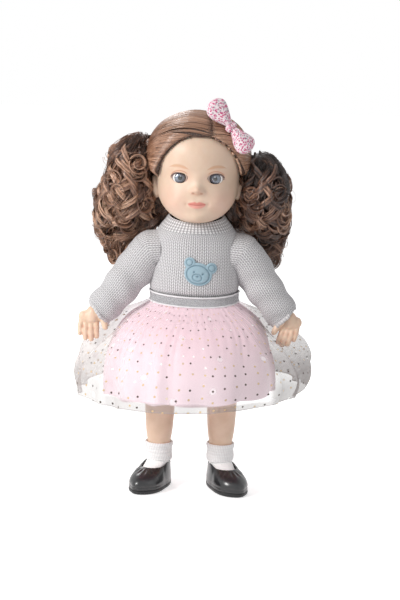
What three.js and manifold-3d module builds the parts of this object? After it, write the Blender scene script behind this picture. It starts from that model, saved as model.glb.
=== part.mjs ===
// A 450 mm play doll with a stuffed cloth body and vinyl head, arms and legs, in its clothes.
// Millimetres, +Z up. It stands on z = 0 and faces -Y, and its own left side is at +X.

import * as THREE from "three";
import { mergeVertices } from "three/addons/utils/BufferGeometryUtils.js";
import Module from "manifold-3d";

const wasm = await Module();
wasm.setup();

// Clearances and wall thicknesses
const GAP = 0.3;
const EASE = 0.9;
const ROD_SIDES = 14;
const VINYL_WALL = 3.2;
const CLOTH_WALL = 1.2;
const KNIT_WALL = 1.8;
const TULLE_WALL = 0.9;
const SOCK_WALL = 1.3;
const SHOE_WALL = 2.4;

// Legs, in the frame of the hip centre
const HIP_X = 37;
const HIP_Y = 3;
const HIP_Z = 188.5;
const HIP_RADIUS = 24;
const LEG_SEAT_X = 15.4;
const LEG_PLUG_RADIUS = 7.5;
const TOE_OUT = 22;
const TOE_BREADTH = 0.2;
const FOOT_LOW = 7.3;
const SOLE_THICKNESS = 5;
const TOPLINE = 27.5;
const SOCK_TOP = 54;
const SOCK_CUFF_LOW = 35;

// Heights up the body, each taken from the one below it
const ARMHOLE_RADIUS = 24;
const BODY_LOW = HIP_Z + HIP_RADIUS + 0.5;
const CROTCH_LOW = HIP_Z - 20.5;
const BAND_LOW = BODY_LOW + 14.5;
const BAND_HEIGHT = 13;
const BAND_HIGH = BAND_LOW + BAND_HEIGHT;
const SHOULDER_Z = BAND_HIGH + ARMHOLE_RADIUS + 21.5;
const NECK_LEVEL = SHOULDER_Z + ARMHOLE_RADIUS + 5;

// Head: heights in its tables are measured from the chin
const CHIN_HEIGHT = NECK_LEVEL + 9.5;
const NECK_RADIUS = 19;
const NECK_Y = 4;
const FLANGE_RADIUS = 23;
const FLANGE_THICKNESS = 4;
const FLANGE_LOW = NECK_LEVEL - 11 - FLANGE_THICKNESS;
const EYE_SPACING = 40;
const EYE_HEIGHT = 51.5;
const EYE_Y = -33.9;
const EYE_RADIUS = 9.3;
const IRIS_THICKNESS = 0.5;
const IRIS_DEPTH = 6.5;
const EYE_OPENING_WIDTH = 16.8;
const EYE_OPENING_HEIGHT = 11.6;
const EAR_RADIUS = 14;
const EAR_X = 50;
const EAR_Y = 2;
const EAR_HEIGHT = 36.5;
const SCALP_ROOM = 2;
const HAIRLINE_WIDTH = 96;
const HAIRLINE_TOP = 99.5;
const HAIRLINE_DEPTH = -4;
const TIE_RADIUS = 8;
const TIE_CORD = 1.6;
const TIE_X = 66;
const BOW_LENGTH = 78;
const BOW_WIDTH = 28;
const BOW_KNOT_RADIUS = 6.5;
const BOW_PLACE = [41.5, -34.6, 105];
const BOW_TILT = 50;
const BOW_PITCH = 56;

// Body
const WAIST_HALF_WIDTH = 46;
const WAIST_HALF_DEPTH = 31.6;
const CROTCH_HALF_WIDTH = 14.7;
const CORD_RADIUS = 2;
const KNOB_RADIUS = 4.4;
const KNOB_LENGTH = 5;

// Arms, in the frame of the shoulder centre
const SHOULDER_X = 54;
const ARM_SEAT_X = 38.8;
const ARM_RADIUS = 15;
const RIGHT_ARM_SPREAD = 0.12;
const SLEEVE_LENGTH = 90;
const SLEEVE_SEAM = 9;
const PLUG_THICKNESS = 3;
const ARM_PLUG_RADIUS = 9;

// Clothes
const BAND_WALL = 1.8;
const COLLAR_TILT = 0.1;
const PATCH_WALL = 1.6;
const PATCH_HALF_WIDTH = 16.5;
const PATCH_HALF_HEIGHT = 13.5;
const PATCH_EAR_RADIUS = 6.6;
const PATCH_X = 4;
const PATCH_Z = SHOULDER_Z - 21;
const PATCH_TILT = 14;
const STRIP_WIDTH = 12;
const STRIP_WALL = 1.1;
const TULLE_FOLDS = 13;
const LINING_FOLDS = 11;
const SLIT_WIDTH = 0.7;

// Forms: each row is [height, half width, front y, back y, centre x], and the rows between are smoothed
const HEAD = [
  [0.5, 14, -39, -12], [5.5, 27, -46, 4], [13.5, 37, -49.5, 22], [22, 43, -51, 35],
  [28, 45.4, -51.2, 42], [34, 46.5, -51, 47.5], [39.5, 47.2, -50.4, 51], [46, 47.6, -49.5, 54],
  [53.5, 49.2, -49.1, 57.5], [62, 51.6, -49.4, 60], [72, 53, -50, 61], [83.5, 52, -49, 60],
  [95.5, 47, -44, 54], [106.5, 37, -34, 44], [114.5, 24, -21, 31], [119.5, 10, -6, 16],
];
const HAIR = [
  [12, 42, -28, 50], [24, 49, -44, 60], [40, 55, -52, 66], [56, 60, -54, 68.5], [72, 62, -55.5, 69],
  [86, 60.5, -54.5, 67], [100, 53.5, -49.5, 60], [112, 42, -39, 49], [120, 28, -26, 36],
  [125, 12, -10, 20],
];
const BUNCH_LEFT = [
  [-68, 6, 40, 52, 78], [-59, 17, 31, 62, 79], [-39, 27, 27.5, 69, 80], [-20, 31, 26.5, 68, 80],
  [-6, 34, -1, 58, 81], [11, 37, -15, 52, 83], [31, 38, -21, 49, 85], [50, 34, -20, 46, 84],
  [65, 23, -13, 39, 84], [73, 12, -3, 28, 82],
];
const BUNCH_RIGHT = [
  [-66, 5, 40, 50, -98], [-54, 15, 31, 62, -91], [-37, 29, 27.5, 71, -85], [-19, 37, 26.5, 70, -87],
  [-5, 39, -1, 62, -86], [11, 38, -14, 55, -86], [31, 35, -21, 50, -83], [55, 31, -21, 48, -78],
  [75, 28, -18, 44, -80], [93, 20, -9, 37, -78], [103, 9, 3, 25, -73],
];
const TORSO = [
  [BODY_LOW, 44.5, -30, 30], [BAND_LOW + 6.5, WAIST_HALF_WIDTH, -WAIST_HALF_DEPTH, WAIST_HALF_DEPTH],
  [SHOULDER_Z - ARMHOLE_RADIUS, 43.5, -31, 31], [SHOULDER_Z + 2, 40, -29, 30],
  [SHOULDER_Z + 17, 28.5, -24, 30.5], [NECK_LEVEL - 5, 21.5, NECK_Y - 21.5, NECK_Y + 21.5],
  [NECK_LEVEL, 21, NECK_Y - 21, NECK_Y + 21],
];
const CROTCH = [
  [CROTCH_LOW, 8, -17, 17], [CROTCH_LOW + 6, 13, -22, 22],
  [CROTCH_LOW + 18, CROTCH_HALF_WIDTH, -24, 24], [BODY_LOW + 4, CROTCH_HALF_WIDTH, -25, 25],
];
const KNIT_IN_BAND = EASE + KNIT_WALL;
const KNIT_HALF_WIDTH = WAIST_HALF_WIDTH + KNIT_IN_BAND;
const KNIT_HALF_DEPTH = WAIST_HALF_DEPTH + KNIT_IN_BAND;
const SWEATER = [
  [BAND_LOW + 2, KNIT_HALF_WIDTH, -KNIT_HALF_DEPTH, KNIT_HALF_DEPTH],
  [BAND_HIGH + GAP, KNIT_HALF_WIDTH, -KNIT_HALF_DEPTH, KNIT_HALF_DEPTH],
  [BAND_HIGH + 6.5, 50.8, -38.5, 38.5], [BAND_HIGH + 16.5, 51, -39.5, 39],
  [SHOULDER_Z - 10, 51, -38, 38], [SHOULDER_Z + 10, 51, -36.5, 37.2],
  [NECK_LEVEL - 7, 50.4, -36.6, 37.4], [NECK_LEVEL - 3, 48.8, -37, 37.8],
  [NECK_LEVEL + 0.5, 46, -37.4, 38],
];
const COLLAR = [
  [NECK_LEVEL + 0.5 + GAP, 45.6, -37.2, 38], [CHIN_HEIGHT - 5, 40, -35.6, 37.2],
  [CHIN_HEIGHT - 1, 34.5, -33.4, 36],
];
const LINING = [
  [BAND_LOW - 105.5, 101, -98, 96], [BAND_LOW - 76, 94.5, -88, 86],
  [BAND_LOW - 48, 80.5, -71.5, 70], [BAND_LOW - 21.5, 65, -53.5, 52.5],
  [BAND_LOW - GAP, 50.4, -36, 36],
];
const TULLE = [
  [BAND_LOW - 101.5, 138, -124, 122, 2.5], [BAND_LOW - 84, 135, -121, 119, 2],
  [BAND_LOW - 61, 113.5, -101, 99, 0.5],
  [BAND_LOW - 48, 98.5, -88, 86], [BAND_LOW - 22.5, 73.5, -61.5, 60.5],
  [BAND_LOW - GAP, 52.4, -38, 38],
];
const FOOT = [
  [FOOT_LOW, 11.5, -46, 12.5], [11, 13, -48, 15], [16, 12.8, -45, 15.5], [21, 12.2, -36, 15.5],
  [26, 11, -24, 14.4], [32, 11, -14, 12.6],
];
const SHOE = [
  [0, 16.4, -51, 17.5], [2, 18, -54, 19.4], [SOLE_THICKNESS, 18.4, -55, 20], [11, 18.4, -55.4, 20.3],
  [16, 17.8, -53, 20.2], [21, 16.6, -46.5, 19.6], [26, 15.4, -35, 18.8], [31, 14.8, -24, 17.6],
];

// Relief of the face: [x, height, forward, width, tallness], each a soft swelling or hollow
const RELIEF = [
  [0, 39, 8.5, 5.4, 5.2], [0, 48, 3.4, 4.6, 8.5], [-5.4, 37, 2.6, 3.4, 3.4], [5.4, 37, 2.6, 3.4, 3.4],
  [0, 24, 3.4, 8.5, 3.2], [0, 19.4, 2.8, 7, 2.8], [0, 5.5, 5, 9, 7], [-27, 26, 3.4, 13, 13],
  [27, 26, 3.4, 13, 13], [-20, EYE_HEIGHT, -2, 8.5, 6], [20, EYE_HEIGHT, -2, 8.5, 6], [0, 78, 2, 30, 18],
];

// Skins and solids

// A closed skin over rings of points, each ring turning anticlockwise about the way the rings go
function skin(rings) {
  const count = rings[0].length;
  const points = rings.flat();
  const faces = [];
  for (let i = 0; i + 1 < rings.length; i++) {
    for (let j = 0; j < count; j++) {
      const next = (j + 1) % count;
      const [a, b] = [i * count + j, i * count + next];
      const [c, d] = [(i + 1) * count + next, (i + 1) * count + j];
      faces.push(a, b, c, a, c, d);
    }
  }
  const last = (rings.length - 1) * count;
  for (let j = 1; j + 1 < count; j++) {
    faces.push(0, j + 1, j);
    faces.push(last, last + j, last + j + 1);
  }
  const geometry = new THREE.BufferGeometry().setFromPoints(points);
  geometry.setIndex(faces);
  return geometry;
}

// A closed skin whose first ring is joined to its last, for a wall that is open at both ends
function loop(rings) {
  const count = rings[0].length;
  const faces = [];
  rings.forEach((ring, i) => {
    const above = (i + 1) % rings.length;
    for (let j = 0; j < count; j++) {
      const next = (j + 1) % count;
      faces.push(i * count + j, i * count + next, above * count + next);
      faces.push(i * count + j, above * count + next, above * count + j);
    }
  });
  const geometry = new THREE.BufferGeometry().setFromPoints(rings.flat());
  geometry.setIndex(faces);
  return geometry;
}

function solid(geometry) {
  const bare = geometry.clone();
  bare.deleteAttribute("normal");
  bare.deleteAttribute("uv");
  const merged = mergeVertices(bare, 1e-4);
  return new wasm.Manifold(
    new wasm.Mesh({
      numProp: 3,
      vertProperties: merged.attributes.position.array,
      triVerts: new Uint32Array(merged.index.array),
    }),
  );
}

function geometryOf(manifold) {
  const mesh = manifold.getMesh();
  const geometry = new THREE.BufferGeometry();
  geometry.setAttribute("position", new THREE.BufferAttribute(mesh.vertProperties, 3));
  geometry.setIndex(new THREE.BufferAttribute(mesh.triVerts, 1));
  geometry.computeVertexNormals();
  return geometry;
}

function between(table, height) {
  const heights = table.map((row) => row[0]);
  const values = table.flatMap(([, half, front, back, x = 0]) => [half, front, back, x]);
  const curve = new THREE.CubicInterpolant(heights, values, 4, new Float32Array(4));
  return [...curve.evaluate(height)];
}

// The heights of a form's rings: its rows, and `fine` - 1 more between each two
function heightsOf(table, fine) {
  const heights = [table[0][0]];
  for (let i = 1; i < table.length; i++) {
    for (let k = 1; k <= fine; k++) {
      heights.push(THREE.MathUtils.lerp(table[i - 1][0], table[i][0], k / fine));
    }
  }
  return heights;
}

function ringOf(table, height, grow, around, shape) {
  const [half, front, back, x] = between(table, height);
  return Array.from({ length: around }, (_, j) => {
    const even = (2 * Math.PI * j) / around;
    const angle = shape?.crowd ? even - shape.crowd * Math.cos(even) : even;
    const point = new THREE.Vector3(
      x + (half + grow) * Math.cos(angle),
      (front + back) / 2 + ((back - front) / 2 + grow) * Math.sin(angle),
      height,
    );
    return shape ? shape(point, angle) : point;
  });
}

// A swelling, tapering solid through a table's rows, or the same solid grown by a clearance
function form(table, { grow = 0, around = 20, fine = 1, shape } = {}) {
  const heights = heightsOf(table, fine);
  const rings = heights.map((height) => ringOf(table, height, grow, around, shape));
  rings[0].forEach((point) => (point.z -= grow));
  rings.at(-1).forEach((point) => (point.z += grow));
  return solid(skin(rings));
}

// A wall of even thickness that follows a table's rows and is open at its top and bottom
function wall(table, thickness, { around = 20, fine = 1, shape } = {}) {
  const heights = heightsOf(table, fine);
  const outer = heights.map((height) => ringOf(table, height, 0, around, shape));
  const inner = heights.map((height) => ringOf(table, height, -thickness, around, shape));
  return solid(loop([...outer, ...inner.reverse()]));
}

// A solid swept along points, with a radius at each; the curve and the radii are smoothed
function limb(points, radii, { around = 12, steps = 6, grow = 0 } = {}) {
  const curve = new THREE.CatmullRomCurve3(points.map((p) => new THREE.Vector3(...p)));
  const at = points.map((_, i) => i / (points.length - 1));
  const width = new THREE.CubicInterpolant(at, radii, 1, new Float32Array(1));
  const rings = [];
  for (let i = 0; i <= steps; i++) {
    const t = i / steps;
    const forward = curve.getTangent(t);
    const across = new THREE.Vector3(0, 1, 0).cross(forward).normalize();
    const other = forward.clone().cross(across);
    const radius = width.evaluate(t)[0] + grow;
    rings.push(
      Array.from({ length: around }, (_, j) => {
        const angle = (2 * Math.PI * j) / around;
        return curve
          .getPoint(t)
          .addScaledVector(across, radius * Math.cos(angle))
          .addScaledVector(other, radius * Math.sin(angle));
      }),
    );
  }
  return solid(skin(rings));
}

function ball(x, y, z, rx, ry = rx, rz = rx, around = 14, tilt = 0) {
  const geometry = new THREE.SphereGeometry(1, around, Math.round(around / 2));
  geometry.scale(rx, ry, rz);
  geometry.rotateY(tilt);
  geometry.translate(x, y, z);
  return solid(geometry);
}

// The radius of a many-sided hole that a many-sided rod can turn in
const turningRoom = (radius) => (radius + GAP) / Math.cos(Math.PI / ROD_SIDES);

// Round bars along the three axes
function post(radius, low, high, x = 0, y = 0, around = 20) {
  const geometry = new THREE.CylinderGeometry(radius, radius, high - low, around);
  geometry.rotateX(Math.PI / 2);
  geometry.translate(x, y, (low + high) / 2);
  return solid(geometry);
}

function rod(radius, from, to, y, z) {
  const geometry = new THREE.CylinderGeometry(radius, radius, to - from, ROD_SIDES);
  geometry.rotateZ(Math.PI / 2);
  geometry.translate((from + to) / 2, y, z);
  return solid(geometry);
}

function barAlongY(radius, from, to, x, z, tall = radius, around = 20) {
  const geometry = new THREE.CylinderGeometry(1, 1, to - from, around);
  geometry.scale(radius, 1, tall);
  geometry.translate(x, (from + to) / 2, z);
  return solid(geometry);
}

function block(low, high) {
  const size = high.map((value, i) => value - low[i]);
  const geometry = new THREE.BoxGeometry(...size);
  geometry.translate(...low.map((value, i) => value + size[i] / 2));
  return solid(geometry);
}

// Colours and finishes
const finish = (color, roughness, metalness = 0) =>
  new THREE.MeshStandardMaterial({ color, roughness, metalness });
const VINYL = finish(0xe9c9ab, 0.5);
const HAIR_FIBRE = finish(0x6a4738, 0.45);
const KNIT = finish(0xb9b8bb, 0.95);
const COTTON = finish(0xe8dccb, 0.9);
const STUFFING = finish(0xf4f2ee, 1);
const ELASTIC = finish(0xdedad2, 0.85);
const LUREX = finish(0xb6b8bb, 0.5, 0.4);
const TULLE_NET = finish(0xeee2e4, 0.9);
const PINK_CLOTH = finish(0xf2d5de, 0.8);
const SOCK_KNIT = finish(0xefecea, 0.95);
const GLOSS_BLACK = finish(0x141416, 0.2);
const PATCH_SKIN = finish(0x8fb0c2, 0.7);
const PRINT_CLOTH = finish(0xe6c3cf, 0.85);
const EYE_WHITE = finish(0xf5f3f0, 0.2);
const EYE_BLUE = finish(0x7d8796, 0.25);
const EYE_CLEAR = finish(0xffffff, 0.05);
const NYLON = finish(0xf0f0ee, 0.5);
const STEEL = finish(0xb8b8ba, 0.3, 0.9);

const doll = new THREE.Group();

function add(parent, name, manifold, material) {
  const mesh = new THREE.Mesh(geometryOf(manifold), material);
  mesh.name = name;
  parent.add(mesh);
  return mesh;
}

// Head: a hollow vinyl shell with a face in relief, ears, eye openings and a flanged neck
function onFace(point) {
  if (point.y > -8) return point;
  for (const [x, height, forward, wide, tall] of RELIEF) {
    const away = ((point.x - x) / wide) ** 2 + ((point.z - height) / tall) ** 2;
    point.y -= forward * Math.exp(-away);
  }
  return point;
}

onFace.crowd = 0.5;

const headForm = (grow) => form(HEAD, { grow, around: 24, shape: onFace });

function ears(grow) {
  const ear = (side) =>
    ball(side * EAR_X, EAR_Y, EAR_HEIGHT, 5.6 + grow, 8 + grow, EAR_RADIUS + grow, 10, side * 0.12);
  return ear(1).add(ear(-1));
}

function headShell() {
  const neckLow = FLANGE_LOW - CHIN_HEIGHT;
  const flangeHigh = neckLow + FLANGE_THICKNESS;
  const neckHigh = 22;
  const outside = headForm(0)
    .add(ears(0))
    .add(post(NECK_RADIUS, neckLow, neckHigh, 0, NECK_Y))
    .add(post(FLANGE_RADIUS, neckLow, flangeHigh, 0, NECK_Y));
  const hollow = form(HEAD.filter((_, i) => i % 3 === 0), { grow: -VINYL_WALL, around: 12 });
  const bore = post(NECK_RADIUS - VINYL_WALL, neckLow - 1, neckHigh + 8, 0, NECK_Y);
  let shell = outside.subtract(hollow.add(bore));
  for (const side of [1, -1]) {
    const x = (side * EYE_SPACING) / 2;
    const opening = barAlongY(
      EYE_OPENING_WIDTH / 2, EYE_Y - 40, EYE_Y, x, EYE_HEIGHT, EYE_OPENING_HEIGHT / 2, 14,
    );
    const room = EYE_RADIUS + GAP;
    const pocket = ball(x, EYE_Y, EYE_HEIGHT, room, room, room, 12);
    shell = shell.subtract(opening).subtract(pocket);
  }
  return shell;
}

function eye(group, side, name) {
  const x = (side * EYE_SPACING) / 2;
  const seat = EYE_Y - IRIS_DEPTH;
  const irisFront = seat - GAP - IRIS_THICKNESS;
  const globe = ball(x, EYE_Y, EYE_HEIGHT, EYE_RADIUS, EYE_RADIUS, EYE_RADIUS, 12);
  const reach = 2 * EYE_RADIUS;
  const slab = (from, to) =>
    block([x - reach, from, EYE_HEIGHT - reach], [x + reach, to, EYE_HEIGHT + reach]);
  add(group, `eye_globe_${name}`, globe.intersect(slab(seat, EYE_Y + reach)), EYE_WHITE);
  const iris = globe.intersect(slab(irisFront, irisFront + IRIS_THICKNESS));
  add(group, `eye_iris_${name}`, iris, EYE_BLUE);
  const lens = globe.intersect(slab(EYE_Y - reach, irisFront - GAP));
  add(group, `eye_lens_${name}`, lens, EYE_CLEAR);
}

// The bow's own frame, with its length along X, and the clip on its underside
const { degToRad } = THREE.MathUtils;
const BOW_TURN = new THREE.Euler(degToRad(BOW_PITCH), degToRad(BOW_TILT), 0, "YXZ");
const BOW_FRAME = new THREE.Matrix4().makeRotationFromEuler(BOW_TURN).setPosition(...BOW_PLACE);

function clip(grow) {
  const top = -BOW_KNOT_RADIUS - GAP;
  return block([-17 - grow, -3 - grow, top - 2.2 - grow], [17 + grow, 3 + grow, top + grow]);
}

// Hair: a smooth cap rooted on the scalp, and a curled bunch tied at each side
function hairCap() {
  const reach = 90;
  const middle = EAR_HEIGHT + EAR_RADIUS - 4;
  const face = barAlongY(
    HAIRLINE_WIDTH / 2, -reach, HAIRLINE_DEPTH, 2, middle, HAIRLINE_TOP - middle, 28,
  );
  const earTop = EAR_HEIGHT + EAR_RADIUS + GAP;
  const scalp = form(HEAD, { grow: SCALP_ROOM, around: 24 });
  const neck = post(NECK_RADIUS + GAP, 0, 30, 0, NECK_Y);
  return form(HAIR, { around: 22 })
    .subtract(scalp)
    .subtract(neck)
    .subtract(ears(GAP))
    .subtract(face)
    .subtract(clip(GAP).transform([...BOW_FRAME.elements]))
    .subtract(block([-reach, -reach, -reach], [reach, EAR_Y + 10, earTop]));
}

function bunch(table, side) {
  const tieHeight = 68;
  const tieY = 14;
  const lump = (point, angle) => {
    const swell = 1 + 0.05 * Math.sin(3 * angle + point.z / 7) * Math.cos(point.z / 9);
    point.x = table[4][4] + (point.x - table[4][4]) * swell;
    return point;
  };
  const innerX = TIE_X - TIE_CORD - 2;
  const outerX = TIE_X + TIE_CORD + GAP;
  const along = (radius, from, to) =>
    side > 0 ? rod(radius, from, to, tieY, tieHeight) : rod(radius, -to, -from, tieY, tieHeight);
  return form(table, { around: 14, shape: lump })
    .subtract(form(HAIR, { grow: GAP, around: 22 }))
    .subtract(ears(GAP))
    .subtract(along(TIE_RADIUS + 2 * TIE_CORD + GAP, innerX - 6, outerX))
    .add(along(TIE_RADIUS - GAP, innerX, outerX + 4));
}

function tie(side) {
  const geometry = new THREE.TorusGeometry(TIE_RADIUS + TIE_CORD, TIE_CORD, 6, 14);
  geometry.rotateY(Math.PI / 2);
  geometry.translate(side * TIE_X, 14, 68);
  return solid(geometry);
}

// Bow: two puffed loops gathered by a band, on a clip that grips the hair
function bow(group) {
  const frame = new THREE.Group();
  frame.applyMatrix4(BOW_FRAME);
  group.add(frame);
  const neck = BOW_KNOT_RADIUS - 1.2;
  const end = BOW_LENGTH / 2;
  const half = BOW_WIDTH / 2;
  const loopForm = (sign) => {
    const stations = [
      [neck + GAP, 0.35, 2.4], [neck + 8, 0.66, 4.4], [end - 14, 0.98, 6.2], [end - 5, 0.9, 5], [end, 0.6, 2],
    ];
    const rings = stations.map(([x, share, thick]) =>
      Array.from({ length: 12 }, (_, j) => {
        const angle = (2 * Math.PI * j) / 12;
        return new THREE.Vector3(x * sign, sign * half * share * Math.cos(angle), thick * Math.sin(angle));
      }),
    );
    return solid(skin(rings));
  };
  add(frame, "bow_loop_upper", loopForm(-1), PRINT_CLOTH);
  add(frame, "bow_loop_lower", loopForm(1), PRINT_CLOTH);
  const knot = ball(0, 0, 0, BOW_KNOT_RADIUS, BOW_KNOT_RADIUS, BOW_KNOT_RADIUS, 8);
  const sides = block([-neck, -20, -20], [neck, 20, 20]);
  add(frame, "bow_knot", knot.intersect(sides), PRINT_CLOTH);
  add(frame, "bow_clip", clip(0), STEEL);
}

function head() {
  const group = new THREE.Group();
  group.position.z = CHIN_HEIGHT;
  add(group, "head_shell", headShell(), VINYL);
  eye(group, 1, "left");
  eye(group, -1, "right");
  add(group, "hair_cap", hairCap(), HAIR_FIBRE);
  add(group, "hair_bunch_left", bunch(BUNCH_LEFT, 1), HAIR_FIBRE);
  add(group, "hair_bunch_right", bunch(BUNCH_RIGHT, -1), HAIR_FIBRE);
  add(group, "hair_tie_left", tie(1), ELASTIC);
  add(group, "hair_tie_right", tie(-1), ELASTIC);
  bow(group);
  return group;
}

// Body: a sewn cotton cover with its stuffing, tied round the neck, and the cords that hold the limbs
const shoulderRod = (radius, from, to) => rod(radius, from, to, 0, SHOULDER_Z);
const hipRod = (radius, from, to) => rod(radius, from, to, HIP_Y, HIP_Z);
const bothSides = (make, from, to) => make(from, to).add(make(-to, -from));

function bodyForm(grow) {
  return form(TORSO, { grow, around: 16 }).add(form(CROTCH, { grow, around: 12 }))
    .subtract(bothSides((a, b) => shoulderRod(ARM_RADIUS + 1 - grow, a, b), ARM_SEAT_X - GAP + grow, 60));
}

function neckTie() {
  const inner = 21.7 + GAP;
  const low = NECK_LEVEL - 4;
  const ring = post(inner + 1.4, low, low + 3, 0, NECK_Y);
  const lock = block([-3, NECK_Y + inner, low - 0.5], [3, NECK_Y + inner + 4, low + 3.5]);
  return ring.add(lock).subtract(post(inner, low - 2, low + 6, 0, NECK_Y));
}

function armCord() {
  const knob = (from, to) => shoulderRod(KNOB_RADIUS, from, to);
  const knobFrom = ARM_SEAT_X + PLUG_THICKNESS + GAP;
  return shoulderRod(CORD_RADIUS, -knobFrom - 1, knobFrom + 1).add(
    bothSides(knob, knobFrom, knobFrom + KNOB_LENGTH),
  );
}

function stuffing() {
  const below = block([-80, -80, 0], [80, 80, FLANGE_LOW - GAP]);
  return bodyForm(-CLOTH_WALL - GAP)
    .intersect(below)
    .subtract(shoulderRod(CORD_RADIUS + GAP, -60, 60))
    .subtract(bothSides((a, b) => hipRod(KNOB_RADIUS + GAP, a, b), 2, 20));
}

function torsoCover() {
  return bodyForm(0)
    .subtract(bodyForm(-CLOTH_WALL))
    .subtract(post(NECK_RADIUS + GAP, FLANGE_LOW + FLANGE_THICKNESS, CHIN_HEIGHT, 0, NECK_Y))
    .subtract(shoulderRod(CORD_RADIUS + GAP, -60, 60))
    .subtract(hipRod(CORD_RADIUS + GAP, -40, 40));
}

// Sweater: a knitted body with round armholes, a ribbed collar and a back opening with touch tape
const leaning = (point) => {
  const share = THREE.MathUtils.smoothstep(point.z, NECK_LEVEL - 15, NECK_LEVEL);
  point.z += COLLAR_TILT * point.y * share;
  return point;
};

function backSlit() {
  const reach = 2 * KNIT_HALF_DEPTH;
  const half = SLIT_WIDTH / 2;
  return block([-half, NECK_Y, BAND_LOW - reach], [half, reach, CHIN_HEIGHT + reach]);
}

function sweaterBody() {
  return wall(SWEATER, KNIT_WALL, { around: 24, shape: leaning })
    .subtract(bothSides((a, b) => shoulderRod(turningRoom(ARMHOLE_RADIUS), a, b), 30, 70))
    .subtract(backSlit());
}

function collar() {
  return wall(COLLAR, KNIT_WALL + 0.6, { around: 24, shape: leaning }).subtract(backSlit());
}

// A thin layer that lies inside or outside the sweater's surface, cut to the outline of another solid
function layerOnSweater(outline, from, to) {
  const sweater = (grow) => form(SWEATER, { grow, around: 24 });
  return sweater(to).subtract(sweater(from)).intersect(outline);
}

function backTape(depth) {
  const half = STRIP_WIDTH / 2;
  const outline = block([-half, 0, BAND_HIGH + 5.5], [half, 2 * KNIT_HALF_DEPTH, NECK_LEVEL - 17]);
  return layerOnSweater(outline, -depth - STRIP_WALL, -depth);
}

function bearPatch() {
  const away = 60;
  const tilt = degToRad(PATCH_TILT);
  const turned = (x, z) => [
    PATCH_X + x * Math.cos(tilt) + z * Math.sin(tilt),
    PATCH_Z - x * Math.sin(tilt) + z * Math.cos(tilt),
  ];
  const earAt = (side) => turned(side * (PATCH_HALF_WIDTH - 2), PATCH_HALF_HEIGHT - 2.6);
  const outline = barAlongY(PATCH_HALF_WIDTH, -away, 0, PATCH_X, PATCH_Z, PATCH_HALF_HEIGHT, 18)
    .add(barAlongY(PATCH_EAR_RADIUS, -away, 0, ...earAt(1), PATCH_EAR_RADIUS, 10))
    .add(barAlongY(PATCH_EAR_RADIUS, -away, 0, ...earAt(-1), PATCH_EAR_RADIUS, 10));
  return layerOnSweater(outline, GAP, GAP + PATCH_WALL);
}

// Skirt: a lurex elastic waistband, a pink lining and a dotted net over it, both gathered into folds
function waistband() {
  const inner = KNIT_IN_BAND + GAP;
  const high = BAND_HIGH;
  const flare = 2.6;
  const half = WAIST_HALF_WIDTH + inner + BAND_WALL;
  const depth = WAIST_HALF_DEPTH + inner + BAND_WALL;
  const rows = [
    [BAND_LOW, half + flare, -depth - flare, depth + flare],
    [(BAND_LOW + high) / 2, half + flare / 3, -depth - flare / 3, depth + flare / 3],
    [high, half, -depth, depth],
  ];
  const sides = [BAND_LOW - 1, high + 1].map((height) => [
    height, WAIST_HALF_WIDTH + inner, -WAIST_HALF_DEPTH - inner, WAIST_HALF_DEPTH + inner,
  ]);
  return form(rows, { around: 24 }).subtract(form(sides, { around: 24 }));
}

// Folds that open out towards the hem, and a hem that hangs lower at the front and on the right
function folded(table, folds, { depth, phase, lean, dip }) {
  const low = table[0][0];
  const high = table.at(-1)[0];
  return (point, angle) => {
    const share = (high - point.z) / (high - low);
    const sway = angle + 0.16 * Math.sin(3 * angle + phase) + 0.08 * Math.sin(7 * angle + 2 * phase);
    const wave = Math.cos(folds * sway + 0.9 * Math.sin(2.2 * share + phase));
    const out = 1 + (depth * share ** 1.1 * wave) / Math.hypot(point.x, point.y);
    point.x *= out;
    point.y *= out;
    point.z += share ** 4 * (lean * Math.cos(angle) + dip * Math.cos(2 * angle));
    return point;
  };
}

function skirt(group) {
  add(group, "waistband", waistband(), LUREX);
  const inside = folded(LINING, LINING_FOLDS, { depth: 3.4, phase: 0.4, lean: 5, dip: 0 });
  const lining = wall(LINING, TULLE_WALL, { around: 4 * LINING_FOLDS, shape: inside });
  add(group, "skirt_lining", lining, PINK_CLOTH);
  const outside = folded(TULLE, TULLE_FOLDS, { depth: 4.2, phase: 1.9, lean: 18, dip: 4 });
  const tulle = wall(TULLE, TULLE_WALL, { around: 4 * TULLE_FOLDS, shape: outside });
  add(group, "skirt_tulle", tulle, TULLE_NET);
}

function body() {
  const group = new THREE.Group();
  add(group, "torso_cover", torsoCover(), COTTON);
  add(group, "torso_stuffing", stuffing(), STUFFING);
  add(group, "neck_tie", neckTie(), NYLON);
  add(group, "arm_cord", armCord(), ELASTIC);
  add(group, "sweater_body", sweaterBody(), KNIT);
  add(group, "sweater_collar", collar(), KNIT);
  add(group, "back_tape_loops", backTape(KNIT_WALL + GAP), NYLON);
  add(group, "back_tape_hooks", backTape(KNIT_WALL + 2 * GAP + STRIP_WALL), NYLON);
  add(group, "bear_patch", bearPatch(), PATCH_SKIN);
  skirt(group);
  return group;
}

// Arm: hollow vinyl with a hand, closed by a plug at the shoulder, in its knitted sleeve
const ARM_PATH = [[0, 0, 0], [16, 0, -19], [30, -1, -38], [43, -3, -57], [53, -5, -75], [60, -6, -90]];
const ARM_RADII = [14, 13.4, 12.8, 11.8, 10.4, 9];
const PALM = [63, -6, -91];
const FINGERS = [
  [[55.8, -9, -99], [55, -11, -107.5], 3.7], [[61.4, -8, -101], [61, -11, -110.5], 4],
  [[67.6, -7, -100], [68, -10, -109.5], 4], [[73, -5, -95], [74.5, -8, -104.5], 3.6],
];
const THUMB = [[[52, -10, -84], [45.5, -13.5, -90.5], [45, -14.5, -98]], [4.8, 4.4, 3.2]];
const SEAT_DEPTH = SHOULDER_X - ARM_SEAT_X;

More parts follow.
